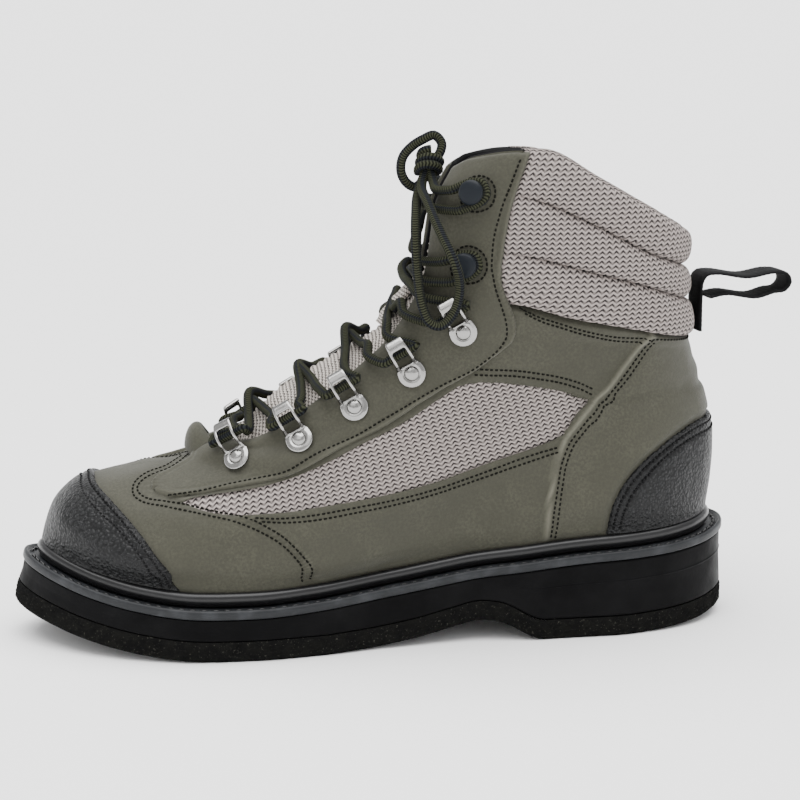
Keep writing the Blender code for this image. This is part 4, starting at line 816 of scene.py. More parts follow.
capEdge = (
    (1.060, 3.58), (1.000, 3.60), (0.966, 3.50), (0.920, 3.34), (0.880, 3.16),
    (0.825, 2.80), (0.790, 2.50), (0.760, 2.14), (0.728, 1.68), (0.700, 1.00),
    (0.684, 0.40))
counterEdge = (
    (-0.06, 4.80), (0.000, 4.82), (0.060, 4.80), (0.143, 4.69), (0.202, 4.29),
    (0.236, 3.77), (0.261, 3.04), (0.273, 2.56), (0.281, 2.04), (0.293, 1.04),
    (0.297, 0.40))
facingEdge = (
    (1.060, 6.70), (1.000, 6.45), (0.962, 6.22), (0.938, 5.80), (0.921, 5.31),
    (0.896, 4.76), (0.869, 4.45), (0.840, 4.30), (0.812, 4.33), (0.795, 4.58),
    (0.779, 4.88), (0.755, 5.29), (0.721, 5.85), (0.690, 6.53), (0.665, 7.15),
    (0.648, 7.85), (0.628, 8.50), (0.602, 9.02), (0.569, 9.42), (0.549, 9.80),
    (0.538, 10.08), (0.543, 10.36), (0.558, 10.66), (0.592, 11.06), (0.628, 11.46),
    (0.646, 11.82), (0.650, 12.20), (0.645, 12.64), (0.637, 13.06), (0.634, 13.60),
    (0.636, 14.0))

capClose = ((0.684, -1.0), (1.3, -1.0), (1.3, 3.58))
counterClose = ((0.297, -1.0), (-0.5, -1.0), (-0.5, 4.80))
eyeClose = ((0.64, 15.0), (1.3, 15.0), (1.3, 6.70))
eyeStitch = (
    (0.816, 4.25), (0.793, 4.71), (0.774, 5.21), (0.729, 6.21), (0.691, 7.49), (0.675, 8.23),
    (0.646, 8.69), (0.614, 9.13), (0.575, 9.49), (0.556, 9.91), (0.556, 10.19), (0.572, 10.54),
    (0.607, 11.00), (0.647, 11.46), (0.672, 11.82), (0.680, 12.20), (0.670, 12.66),
    (0.657, 13.12), (0.654, 13.82))
vampStitchLow = (
    (1.060, 6.00), (0.990, 5.79), (0.957, 5.33), (0.933, 4.83), (0.907, 4.43), (0.881, 4.13),
    (0.856, 3.85), (0.835, 3.77), (0.806, 3.88), (0.774, 3.98), (0.745, 3.97), (0.716, 3.85),
    (0.688, 3.57), (0.657, 3.12), (0.631, 2.68), (0.604, 2.06), (0.580, 1.34), (0.566, 0.64))
vampStitchHigh = (
    (1.060, 6.30), (0.985, 6.06), (0.950, 5.57), (0.917, 4.83), (0.896, 4.45), (0.875, 4.19),
    (0.854, 4.04), (0.835, 4.00), (0.811, 4.10), (0.779, 4.22), (0.750, 4.20), (0.718, 4.09),
    (0.688, 3.85), (0.659, 3.40), (0.633, 2.92), (0.603, 2.24), (0.576, 1.50), (0.558, 0.58))
cuffStitch = (
    (0.566, 10.96), (0.519, 10.84), (0.474, 10.80), (0.399, 10.64), (0.335, 10.54),
    (0.284, 10.62), (0.228, 10.76), (0.140, 10.84), (0.000, 10.90))
cuffStitchLow = (
    (0.550, 10.86), (0.508, 10.74), (0.465, 10.68), (0.394, 10.47), (0.330, 10.31),
    (0.269, 10.37))
arcStitch = (
    (0.566, 9.31), (0.535, 9.23), (0.492, 9.09), (0.439, 8.79), (0.396, 8.45), (0.357, 7.95),
    (0.325, 7.37))
lowStitchHigh = (
    (0.683, 3.87), (0.652, 3.77), (0.620, 3.77), (0.571, 3.87), (0.516, 3.91), (0.487, 3.97),
    (0.439, 4.21), (0.401, 4.43), (0.362, 4.57))
lowStitchLow = (
    (0.672, 3.69), (0.644, 3.59), (0.615, 3.57), (0.569, 3.67), (0.515, 3.71), (0.486, 3.77),
    (0.436, 4.01), (0.398, 4.21), (0.362, 4.39))

# Upper: outer skin in panels, open edges rolled in, and the lining inside
cuff = {"seat": 0.005, "bulge": 0.0045, "rollSeam": 0.0006, "reach": 0.645}
knitTilt = np.radians(16.0)
signed = np.concatenate([-np.linspace(1.0, 0.06, 226), np.linspace(-0.06, 0.06, 29)[1:-1],
                         np.linspace(0.06, 1.0, 226)])
rowLine = np.concatenate([np.linspace(0.0, 1.0, 7)[:-1], np.linspace(1.0, 2.0, 9)[:-1],
                          np.linspace(2.0, 6.0, 31)[:-1], np.linspace(6.0, throatRow, 9),
                          np.linspace(throatRow, rimRow, 66)[1:]])
seenReach = 0.655


def cuffDepth(turn, row):
    return np.where((np.abs(turn) <= seenReach) & (row >= cuffRow - 0.04), cuff["seat"], 0.0)


# Depth of the lining, which clears the cuff's recess in soft slopes
def liningDepth(turn, row):
    across = 1.0 - ease((np.abs(turn) - cuff["reach"]) / 0.2)
    above = ease((row - cuffRow + 1.5) / 1.5)
    return upper["wall"] + cuff["seat"] * across * above


turnGrid, rowGrid = np.meshgrid(signed, rowLine)
turnFlat, rowFlat = turnGrid.ravel(), rowGrid.ravel()
skinForm = form(turnFlat, rowFlat)
pipeBehind = ((0.36, -1.0), (-0.5, -1.0), (-0.5, 11.0))
seamBehind = ((0.56, -1.0), (-0.5, -1.0), (-0.5, 15.0), (1.2, 15.0), (1.2, 6.45))
inMesh = signedSeam(meshEdge + meshEdge[:1], turnFlat, rowFlat, skinForm)
skinPoints, skinFaces = trim(np.column_stack([turnFlat, rowFlat]),
                             triangles(quads(*turnGrid.shape)[:, ::-1]), -inMesh)


# Soft troughs and swellings pressed into the skin, in turns, levels and metres:
# turn, level, reach in turns, reach in levels, slant, depth
creases = (
    (0.955, 5.35, 0.120, 0.22, 3.2, -0.0006), (0.940, 4.72, 0.140, 0.24, 2.4, 0.0004),
    (0.800, 3.20, 0.055, 0.70, -6.0, -0.0005), (0.700, 5.05, 0.050, 0.60, 4.0, -0.0004),
    (0.520, 9.55, 0.070, 0.30, 5.0, -0.0007), (0.455, 10.20, 0.090, 0.22, 2.0, -0.0006),
    (0.300, 9.60, 0.050, 0.90, -9.0, -0.0006), (0.190, 9.80, 0.060, 0.50, 6.0, -0.0005),
    (0.240, 6.20, 0.045, 1.10, 4.0, -0.0005), (0.330, 2.60, 0.050, 0.90, 0.0, 0.0006),
    (0.470, 2.70, 0.080, 0.60, 0.0, -0.0005), (0.120, 7.60, 0.050, 0.90, 0.0, -0.0006),
    (0.600, 2.80, 0.050, 0.60, -8.0, 0.0005))


# Each crease is a bump exp(-x^2 - y^2) slanted by its slant; a slow wave keeps it uneven
def creased(turn, row):
    out = np.zeros(len(turn))
    size = np.abs(turn)
    for middle, height, reach, tall, slant, depth in creases:
        x = (size - middle) / reach
        y = (row - height - slant * (size - middle)) / tall
        out += depth * np.exp(-x * x - y * y) * (1.0 + 0.3 * np.sin(40.0 * turn + 3.0 * row))
    out += 0.00018 * np.sin(23.0 * turn + 1.3 * row) * np.sin(2.1 * row + 5.0 * turn)
    return out


def skinLift(turn, row, points):
    heel = signedSeam(heelPipe, turn, row, points, pipeBehind)
    vamp = signedSeam(vampSeam, turn, row, points, seamBehind)
    mesh = -signedSeam(meshEdge + meshEdge[:1], turn, row, points)
    lift = 0.0009 * foldedEdge(heel, 0.0010) * (heel > 0)
    lift += 0.0006 * groove(heel - 0.0011, 0.0009)
    vamp = vamp - 0.0042
    lift += 0.0008 * foldedEdge(vamp, 0.0012) * (vamp > 0) * ease((8.0 - row) / 2.0)
    lift += 0.0007 * foldedEdge(mesh, 0.0009) * ease((0.016 - mesh) / 0.010)
    for line, places in ((heel, (0.0034, 0.0054)), (vamp, (-0.0035, -0.0012))):
        for place in places:
            lift -= 0.00022 * groove(line - place, 0.0008)
    low = row < 8.2
    for place in (0.0024, 0.0046):
        lift -= 0.00022 * groove(mesh - place, 0.0008) * (low | (np.abs(turn) > 0.3))
    # Lighter along the folds: the vamp's 0.16 is rubbed wear, the heel piping's 0.55 is a painted
    # highlight
    wearAndHighlight = 0.55 * groove(heel - 0.0008, 0.0007) + 0.16 * groove(vamp - 0.0006, 0.0005)
    lift = lift + creased(turn, row)
    for edge, close in ((counterEdge, counterClose), (capEdge, capClose), (facingEdge, eyeClose)):
        under = signedSeam(edge, turn, row, points, close)
        lift = lift * (1.0 - ease((under + 0.0030) / 0.0028))
    return lift, np.clip(wearAndHighlight, 0.0, 1.0)


turn, row = skinPoints.T
base = form(turn, row)
lift, wearAndHighlight = skinLift(turn, row, base)
lift = lift * ease((row - 0.9) / 0.3) - cuffDepth(turn, row)
points = base + outwardNormal(turn, row) * lift[:, None]
upperSkin = meshPiece("upper_skin", points, skinFaces, olive, fields={"wearAndHighlight": wearAndHighlight})
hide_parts("upper")

netPoints, netFaces = trim(np.column_stack([turnFlat, rowFlat]),
                           triangles(quads(*turnGrid.shape)[:, ::-1]), inMesh + 0.0015)
turn, row = netPoints.T
points = offset(turn, row, -0.0003 + creased(turn, row))
away = -points[:, 0] + 0.4 * np.abs(points[:, 1])
flatUv = np.column_stack([away * np.cos(knitTilt) + points[:, 2] * np.sin(knitTilt),
                          points[:, 2] * np.cos(knitTilt) - away * np.sin(knitTilt)])
netPanel = meshPiece("knit_panels", points, netFaces, knit, uv=flatUv)
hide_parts("upper")

linerRows = rowLine[::3] if len(rowLine) % 3 == 1 else np.append(rowLine[::3], rimRow)
linerTurn, linerRow = np.meshgrid(signed[::2], linerRows)
liner = offset(linerTurn, linerRow, -liningDepth(linerTurn, linerRow))
upperLining = meshPiece("upper_lining", liner.reshape(-1, 3),
                        quads(*linerTurn.shape), lining)
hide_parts("upper")

# Binding over the collar's rim and down the throat's edges: a half round from the skin
# to the lining along the open edge
openTurns = np.concatenate([np.full(60, -1.0), signed, np.full(60, 1.0)])
openRows = np.concatenate([np.linspace(throatRow, rimRow, 61)[:-1], np.full(len(signed), rimRow),
                           np.linspace(rimRow, throatRow, 61)[1:]])
hinge = outwardNormal(openTurns, openRows)
rimPoint = form(openTurns, openRows)
over = np.cross(hinge, unit(np.gradient(rimPoint, axis=0), 1e-12))
over *= np.where(np.abs(openTurns) < 1.0, np.sign(over[:, 2]), 1.0)[:, None]
ahead = rimPoint - form(openTurns * 0.99, openRows)
flip = (over * ahead).sum(1) < 0
over[(np.abs(openTurns) >= 1.0) & flip] *= -1
deep = liningDepth(openTurns, openRows)
shallow = -cuffDepth(openTurns, openRows) * 0.35
angles = np.linspace(0.0, np.pi, 9)
middle, half = (shallow - deep) / 2.0, (shallow + deep) / 2.0
rolled = []
for angle in angles:
    rolled.append(rimPoint + hinge * (middle + half * np.cos(angle))[:, None]
                  + over * (0.0012 * np.sin(angle)))
edgeBinding = meshPiece("edge_binding", np.array(rolled).reshape(-1, 3),
                        quads(len(angles), len(openTurns))[:, ::-1], bindingCloth)
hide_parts("upper")
print("stage: upper")


# Overlays on the upper; past the toe's ridge a turn is read from the other side
def wrapped(turn):
    return np.where(turn > 1.0, turn - 2.0, turn)


def overlayPiece(name, node, finish, edge, close, turns, rows, thick, radius,
                 stitchRows, sink, extra):
    turnNet, rowNet = np.meshgrid(turns, rows)
    turn, row = turnNet.ravel(), rowNet.ravel()
    inside = signedSeam(edge, wrapped(turn), row, form(turn, row), close)
    kept, faces = trim(np.column_stack([turn, row]), triangles(quads(*turnNet.shape)[:, ::-1]),
                       inside)
    turn, row = kept.T
    base = form(turn, row)
    inside = signedSeam(edge, wrapped(turn), row, base, close)
    lift = gap + thick * foldedEdge(inside, radius) - 0.0006 * (inside < 0.00005)
    for place in stitchRows:
        lift -= sink * groove(inside - place, 0.0009)
    lift += extra(turn, row)
    points = base + outwardNormal(turn, row) * lift[:, None]
    wearAndHighlight = 0.14 * groove(inside - 0.0006, 0.0006)
    piece = meshPiece(name, points, faces, finish, fields={"wearAndHighlight": wearAndHighlight})
    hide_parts(node)


capTurns = np.linspace(0.64, 1.36, 281)
backTurns = np.linspace(-0.33, 0.33, 190)
lowRows = np.concatenate([np.linspace(0.95, 2.0, 16)[:-1], np.linspace(2.0, 5.4, 50)])


def capLift(turn, row):
    return 0.0002 * np.sin(31.0 * turn + row)


overlayPiece("toe_cap_shell", "toe_cap", pebbled, capEdge, capClose,
             capTurns, lowRows, upper["capOverlay"], 0.0013, (0.0022, 0.0052), 0.00055, capLift)
overlayPiece("heel_counter_shell", "heel_counter", pebbled, counterEdge,
             counterClose, backTurns, lowRows, upper["capOverlay"], 0.0013, (0.0024, 0.0052),
             0.00055, capLift)

# Eyestay: its throat edge is rolled down over the upper's own edge
eyeTurns = np.linspace(0.50, 1.0, 190)
eyeRows = np.concatenate([np.linspace(3.9, throatRow, 36)[:-1],
                          np.linspace(throatRow, rimRow, 96)])


def eyeLift(turn, row):
    edge = np.linalg.norm(form(turn, row) - form(np.sign(turn), row), axis=1)
    over = np.where(row > throatRow, edge, 1.0)
    top = np.where(np.abs(turn) > 0.5, (rimRow - row) * 0.012, 1.0)
    nearest = np.minimum(over, top)
    roll = -(upper["overlay"] + upper["wall"]) * (1.0 - foldedEdge(nearest, 0.0018))
    return roll + 0.6 * creased(turn, row)


for side, word in ((1.0, "lateral"), (-1.0, "medial")):
    overlayPiece("eyestay_" + word, "eyestay", olive, facingEdge, eyeClose,
                 side * eyeTurns[::int(side)], eyeRows, upper["overlay"], 0.0012, (0.0030,),
                 0.00025, eyeLift)
print("stage: overlays")


# Heights at which the threads lie on the skin and on the eyestay
def onSkin(turn, row, base):
    return skinLift(turn, row, base)[0] + 0.00005


def onEyestay(turn, row, base):
    return gap + upper["overlay"] - 0.0001 + 0.6 * creased(turn, row)


for side in (1.0, -1.0):
    stitchSeam("olive", eyeStitch, side, 0.0, onEyestay)
    for table in (vampStitchLow[1:], vampStitchHigh[1:]):
        stitchSeam("olive", table, side, 0.0, onSkin)
    for place in (0.0034, 0.0054):
        stitchSeam("olive", heelPipe, side, place, onSkin)
    for table in (arcStitch, lowStitchHigh, lowStitchLow, cuffStitch, cuffStitchLow):
        stitchSeam("olive", table, side, 0.0, onSkin)
    stitchSeam("olive", arcStitch, side, 0.0022, onSkin)
    onRubber = gap + upper["capOverlay"] - 0.0002
    for place in (0.0022, 0.0052):
        stitchSeam("black", capEdge[1:], side, -place, onRubber)
        stitchSeam("black", counterEdge[1:], side, place + 0.0002, onRubber)
finishStitches("olive", "olive_stitches", thread, "olive_leather", "upper", "eyestay")
finishStitches("black", "rubber_stitches", blackThread, "pebbled_rubber", "toe_cap",
               "heel_counter")
print("stage: stitches")

# Cuff: three padded rolls; v of its weave is the height, u runs round the collar
cuffTurns = np.linspace(-0.668, 0.668, 330)
rollShare = 0.5 - 0.5 * np.cos(np.linspace(0.0, np.pi, 25))
cuffRows = np.concatenate([cuffRow + k + rollShare[:-1] for k in range(3)] + [[rimRow]])
cuffTurn, cuffLevel = np.meshgrid(cuffTurns, cuffRows)
shape = cuffTurn.shape
turn, row = cuffTurn.ravel(), cuffLevel.ravel()
base = form(turn, row)
share = np.where(row >= rimRow, 1.0, row - np.floor(row))
puff = np.sqrt(np.clip(1.0 - (2.0 * share - 1.0) ** 2, 0.0, 1.0)) ** 0.85
fade = ease((cuff["reach"] - np.abs(turn)) / 0.12)
wave = 1.0 + 0.05 * np.sin(19.0 * turn + 2.2 * row) + 0.04 * np.sin(47.0 * turn - 3.0 * row)
lift = cuff["bulge"] * puff * (0.30 + 0.70 * fade) * wave - cuff["rollSeam"]
pull = np.exp(-((share - np.round(share)) / 0.10) ** 2)
lift -= 0.0006 * pull * (1.0 + 0.5 * np.sin(150.0 * turn + 4.0 * np.sin(9.0 * turn)))
lift += 0.00025 * np.sin(90.0 * turn + 2.0 * row) * puff * np.abs(2.0 * share - 1.0)
flap = -signedSeam(facingEdge, turn, row, base, eyeClose)
fold = foldedEdge(flap + 0.0006, 0.0030)
lift = lift * fold - 0.0012 * (1.0 - fold)
cuffPoints = (base + outwardNormal(turn, row) * lift[:, None]).reshape(*shape, 3)
topLift = lift.reshape(shape)[-1]
crown = outwardNormal(cuffTurns, rimRow)
rimLine = form(cuffTurns, rimRow)
upward = unit(rimLine - form(cuffTurns, rimRow - 0.1))
middle, half = (topLift - cuff["seat"] * 0.9) / 2.0, (topLift + cuff["seat"] * 0.9) / 2.0
caps = []
for angle in np.linspace(0.0, 0.9 * np.pi, 9)[1:]:
    caps.append(rimLine + crown * (middle + half * np.cos(angle))[:, None]
                + upward * 0.0016 * np.sin(angle))
cuffPoints = np.concatenate([cuffPoints, np.array(caps)])
along = runOf(form(cuffTurns, 12.4))
climb = np.linalg.norm(np.diff(cuffPoints, axis=0), axis=2)
rise = np.concatenate([np.zeros((1, len(cuffTurns))), np.cumsum(climb, axis=0)])
height = cuffPoints[..., 2] + np.where(np.arange(len(cuffPoints))[:, None] >= shape[0],
                                       rise - rise[shape[0] - 1], 0.0)
cuffUv = np.stack([np.broadcast_to(along, height.shape), height * 0.9], axis=-1)
cuffRolls = meshPiece("cuff_rolls", cuffPoints.reshape(-1, 3),
                      quads(*cuffPoints.shape[:2])[:, ::-1], knit, uv=cuffUv.reshape(-1, 2))
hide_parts("collar_cuff")
print("stage: cuff")

# Tongue: arched between the throat's edges, tucked under them, rounded at its top.
# "arch" gives the arch's height at each level.
tongue = {"underlap": 0.075, "thickness": 0.0042, "clearance": 0.002, "archPower": 1.5,
          "arch": ((0.0, 0.0), (7.0, 0.0), (7.3, 0.0010), (8.0, 0.0110), (9.0, 0.0150),
                   (10.0, 0.0120), (11.0, 0.0080), (12.0, 0.0040), (14.0, 0.0030)),
          "ribPitch": 0.0033, "ribHeight": 0.00045, "sideSeam": 0.0005}


def throatFrame(rows):
    middle = (form(np.ones(len(rows)), rows) + form(-np.ones(len(rows)), rows)) / 2.0
    climb = np.gradient(middle, axis=0)
    out = np.stack([climb[:, 2], np.zeros(len(rows)), -climb[:, 0]], axis=1)
    return middle, unit(out)


tongueRows = np.linspace(7.05, 13.5, 190)
under = np.linspace(1.0 - tongue["underlap"], 1.0, 7)
across = np.linspace(1.0, -1.0, 61)[1:-1]
out = throatFrame(tongueRows)[1]
edges = []
for side in (1.0, -1.0):
    turnNet, rowNet = np.meshgrid(side * under, tongueRows)
    depth = -liningDepth(turnNet, rowNet) - tongue["clearance"]
    edges.append(offset(turnNet, rowNet, depth))
half = (edges[0][:, -1] - edges[1][:, -1]) / 2.0
middle = (edges[0][:, -1] + edges[1][:, -1]) / 2.0
arch = flow(*zip(*tongue["arch"]), tongueRows)
span = (middle[:, None] + across[None, :, None] * half[:, None]
        + out[:, None] * (arch[:, None] * (1.0 - across ** 2) ** tongue["archPower"])[..., None])
tongueTop = np.concatenate([edges[0], span, edges[1][:, ::-1]], axis=1)
normal = unit(np.cross(np.gradient(tongueTop, axis=1), np.gradient(tongueTop, axis=0)))
normal *= np.sign((normal * out[:, None]).sum(axis=-1, keepdims=True))
size = np.array(tongueTop.shape[:2])
run = np.concatenate([np.zeros((1, size[1])),
                      np.cumsum(np.linalg.norm(np.diff(tongueTop, axis=0), axis=2), axis=0)])
wide = np.concatenate([np.zeros((size[0], 1)),
                       np.cumsum(np.linalg.norm(np.diff(tongueTop, axis=1), axis=2), axis=1)], 1)
wide -= wide[:, -1:] / 2.0
ribs = np.sin(2.0 * np.pi * run[:, size[1] // 2][:, None] / tongue["ribPitch"]
              + 0.5 * np.sin(wide * 300.0))
ridgeZone = ease((0.011 - np.abs(wide)) / 0.006)
lift = tongue["ribHeight"] * ribs * ridgeZone
lift += 0.0002 * np.sin(wide * 500.0) * np.sin(run * 210.0)
lift -= tongue["sideSeam"] * groove(np.abs(wide) - 0.0125, 0.0012)
front = tongueTop + normal * lift[..., None]
back = tongueTop - normal * tongue["thickness"]
climb = unit(np.gradient(tongueTop, axis=0)[-1])
lip = []
for angle in np.linspace(0.0, np.pi, 8)[1:-1]:
    level = -tongue["thickness"] / 2.0 * (1.0 - np.cos(angle))
    lip.append(tongueTop[-1] + normal[-1] * level
               + climb * tongue["thickness"] * 0.45 * np.sin(angle))
closed = np.concatenate([front, np.array(lip), back[::-1]])
tongueUv = np.stack([np.concatenate([wide, np.repeat(wide[-1:], len(lip), 0), wide[::-1]]),
                     np.concatenate([run, run[-1:] + 0.001 * np.arange(1, len(lip) + 1)[:, None],
                                     0.02 + 2.0 * run[-1:] - run[::-1]])], axis=-1)
tonguePad = meshPiece("tongue_padding", closed.reshape(-1, 3),
                      quads(*closed.shape[:2])[:, ::-1], tongueKnit,
                      uv=tongueUv.reshape(-1, 2))
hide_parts("tongue")

# Keeper: a knitted strap sewn over the tongue's ridge, and the vamp's tab before it
keeperRows = np.linspace(10.85, 11.85, 26)
wayRows = np.linspace(9.0, 12.0, 61)
way = throatFrame(wayRows)[1]
wayLine = np.stack([np.interp(keeperRows, wayRows, way[:, k]) for k in range(3)], axis=1)
ridgeLine = np.stack([np.interp(keeperRows, tongueRows, tongueTop[:, size[1] // 2, k])
                      for k in range(3)], axis=1)
hump = np.sin(np.linspace(0.0, np.pi, len(keeperRows)))
section = [(-0.0060, -0.0002), (-0.0063, 0.0008), (-0.0058, 0.0018), (-0.0030, 0.0024),
           (0.0, 0.0026), (0.0030, 0.0024), (0.0058, 0.0018), (0.0063, 0.0008),
           (0.0060, -0.0002)]
strip = np.array([[p + w * (h * 0.0026 + up - 0.0002 * np.sin(70.0 * k))
                   + np.array([0.0, o, 0.0]) for o, up in section]
                  for k, (p, w, h) in enumerate(zip(ridgeLine, wayLine, hump))])
keeperUv = np.stack(np.meshgrid(np.linspace(0, 0.014, len(section)),
                                np.linspace(0, 0.03, len(keeperRows))), axis=-1)
keeper = meshPiece("lace_keeper", strip.reshape(-1, 3), quads(*strip.shape[:2]), tongueKnit,
                   uv=keeperUv.reshape(-1, 2))
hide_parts("tongue")

tabWide = np.linspace(-1.0, 1.0, 25)
tabUp = np.linspace(0.0, 1.0, 16)
tabRoot = form(np.ones(1), np.array([throatRow - 0.1]))[0]
u, v = np.meshgrid(tabWide, tabUp)
curl = 1.9 * v ** 1.3
tabFace = np.stack([
    tabRoot[0] + 0.0075 - 0.0070 * (1.0 - np.cos(curl)) / 1.3 - 0.0045 * u ** 2,
    tabRoot[1] + 0.0125 * u * (1.0 - 0.15 * v ** 2),
    tabRoot[2] - 0.0015 + 0.0105 * np.sin(curl) * (1.0 - 0.2 * u ** 2) - 0.0045 * u ** 2], axis=-1)
tabNormal = unit(np.cross(np.gradient(tabFace, axis=1), np.gradient(tabFace, axis=0)))
tabBack = tabFace - tabNormal * 0.0019
tabLip = (tabFace[-1] + tabBack[-1]) / 2.0 + (tabFace[-1] - tabFace[-2]) * 0.8
tabPoints = np.concatenate([tabFace, tabLip[None], tabBack[::-1]])
tab = meshPiece("vamp_tab", tabPoints.reshape(-1, 3), quads(*tabPoints.shape[:2]), olive,
                fields={"wearAndHighlight": np.zeros(tabPoints.size // 3)})
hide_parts("eyestay")
print("stage: tongue")

# Rings and hooks, seated as in the model: places in shares of the sole's length and of the
# boot's height, and the way their upper ends point
seatGap = 0.0004
laceRing = {"places": ((0.696, 0.380), (0.615, 0.420), (0.544, 0.488), (0.469, 0.556),
                       (0.401, 0.639)),
            "lie": (0.50, 0.87), "width": 0.0105, "length": 0.0145, "thickness": 0.0009}
speedHook = {"places": ((0.392, 0.771), (0.379, 0.912)), "lie": (0.96, -0.28),
             "base": 0.0058, "baseThickness": 0.0014, "stitchCircle": 0.0079}
ringFoot = (-0.32 * laceRing["length"], 0.30 * laceRing["length"], 0.48 * laceRing["width"])
hookFoot = (-0.8 * speedHook["base"], 0.8 * speedHook["base"], 0.8 * speedHook["base"])


def locate(forward, up, side):
    low, high = np.array([0.0, 1.0]), np.array([1.0, rimRow])
    for _ in range(5):
        turns, rows = np.linspace(low[0], high[0], 41), np.linspace(low[1], high[1], 41)
        turnNet, rowNet = np.meshgrid(side * turns, rows)
        points = form(turnNet, rowNet)
        miss = (points[..., 0] - forward) ** 2 + (points[..., 2] - up) ** 2
        i, j = np.unravel_index(np.argmin(miss), miss.shape)
        best = np.array([turns[j], rows[i]])
        reach = (high - low) / 8.0
        low, high = np.maximum(best - reach, (0.0, 1.0)), np.minimum(best + reach, (1.0, rimRow))
    return best


def seatFrame(share, side, lie):
    forward, up = share[0] * sole["length"], share[1] * bootHeight
    if side < 0:
        forward -= upper["twist"] * upper["collarWidth"] * 0.9
        up -= upper["lean"] * upper["collarWidth"] * 0.4
    turn, row = locate(forward, up, side)
    normal = outwardNormal(side * turn, row)
    rise = np.array([lie[0], 0.0, lie[1]])
    rise -= normal * rise.dot(normal)
    rise = unit(rise)
    point = offset(side * turn, row, gap + upper["overlay"])
    turnNet, rowNet = np.meshgrid(side * np.clip(turn + np.linspace(-0.12, 0.12, 33), 0.0, 1.0),
                                  np.clip(row + np.linspace(-0.9, 0.9, 33), 1.0, rimRow))
    near = offset(turnNet, rowNet, np.full(turnNet.shape, gap + upper["overlay"])) - point
    foot = ringFoot if lie is laceRing["lie"] else hookFoot
    under = (near @ rise > foot[0]) & (near @ rise < foot[1])
    under &= np.abs(near @ np.cross(normal, rise)) < foot[2]
    return point + normal * ((near @ normal)[under].max() + seatGap), rise, normal


seats = [[seatFrame(share, side, kind["lie"]) for side in (1.0, -1.0)]
         for kind in (laceRing, speedHook) for share in kind["places"]]


# Solid from an open triangle sheet: its faces, the same moved down, and its border walled
def thicken(points, faces, depth):
    count = len(points)
    edges = np.concatenate([faces[:, (0, 1)], faces[:, (1, 2)], faces[:, (2, 0)]])
    keys, index, times = np.unique(np.sort(edges, 1), axis=0, return_index=True,
                                   return_counts=True)
    border = edges[index[times == 1]]
    a, b = border.T
    walls = np.concatenate([np.column_stack([b, a, a + count]),
                            np.column_stack([b, a + count, b + count])])
    return (np.concatenate([points, points - depth]),
            np.concatenate([faces, faces[:, ::-1] + count, walls]))


# Stamped plate in its own axes: x up the surface, y across, z out. s runs along the plate's
# bent line, w across it; the outline and the opening are signed distances in s and w.
def ringMesh():
    bend = smoothPath(np.array([(-6.2, 0.0), (-2.0, 0.0), (1.5, 0.0), (3.4, 0.15), (4.6, 2.2),
                                (5.6, 5.2), (8.0, 6.7), (11.5, 7.0), (13.6, 6.7), (14.7, 5.6),
                                (14.6, 4.6)]) * 0.001, count=200)
    run = runOf(bend)
    run -= 0.0062
    sNet, wNet = np.meshgrid(np.linspace(-0.0060, run[-1], 76), np.linspace(-0.0062, 0.0062, 41))
    flat = np.column_stack([sNet.ravel(), wNet.ravel()])
    faces = triangles(quads(*sNet.shape))

    def rim(flat):
        s, w = flat.T
        half = np.interp(s, (0.0, 0.0022, 0.0038, 0.0052, 0.0085, 0.0150, 0.0190),
                         (0.0058, 0.0055, 0.0048, 0.0046, 0.0044, 0.0041, 0.0037))
        side = half - np.abs(w)
        heel = 0.0058 - np.hypot(s, w)
        end = run[-1] - 0.0002 - s
        return np.where(s < 0.0, heel, np.minimum(side, end))

    def hole(flat):
        s, w = flat.T
        x, y = np.abs(s - 0.0096) - 0.0042, np.abs(w) - 0.0020
        outside = np.hypot(np.maximum(x, 0.0), np.maximum(y, 0.0))
        return outside + np.minimum(np.maximum(x, y), 0.0) - 0.0010

    flat, faces = trim(flat, faces, rim(flat))
    flat, faces = trim(flat, faces, hole(flat))
    s, w = flat.T
    across = np.stack([np.interp(s, run, bend[:, 0]), w, np.interp(s, run, bend[:, 1])], axis=1)
    slope = unit(np.stack([np.interp(s, run, np.gradient(bend[:, k], run)) for k in (0, 1)],
                          axis=1))
    out = np.stack([-slope[:, 1], np.zeros(len(s)), slope[:, 0]], axis=1)
    edge = np.minimum(rim(flat), hole(flat))
    bevel = laceRing["thickness"] * (0.55 + 0.45 * foldedEdge(edge, 0.0008))
    dish = 0.00025 * np.exp(-((np.hypot(s, w) - 0.0040) / 0.0007) ** 2) * (s < 0.003)
    top = across + out * (bevel + dish)[:, None]
    points, faces = thicken(top, faces, out * bevel[:, None])
    return points, faces


# Turned form about z from radius and height, open ends closed by a fan
def lathe(profile, count=28):
    profile = np.array(profile)
    angle = 2.0 * np.pi * np.arange(count) / count
    rings = np.stack([profile[:, :1] * np.cos(angle), profile[:, :1] * np.sin(angle),
                      np.broadcast_to(profile[:, 1:], (len(profile), count))], axis=-1)
    ends = np.array([[0.0, 0.0, profile[0, 1]], [0.0, 0.0, profile[-1, 1]]])
    faces = np.concatenate([triangles(quads(len(profile), count, closed=True)),
                            endFans(len(profile) * count, count)])
    return np.concatenate([rings.reshape(-1, 3), ends]), faces


def merged(parts):
    total, points, faces = 0, [], []
    for some, few in parts:
        points.append(some)
        faces.append(few + total)
        total += len(some)
    return np.concatenate(points), np.concatenate(faces)


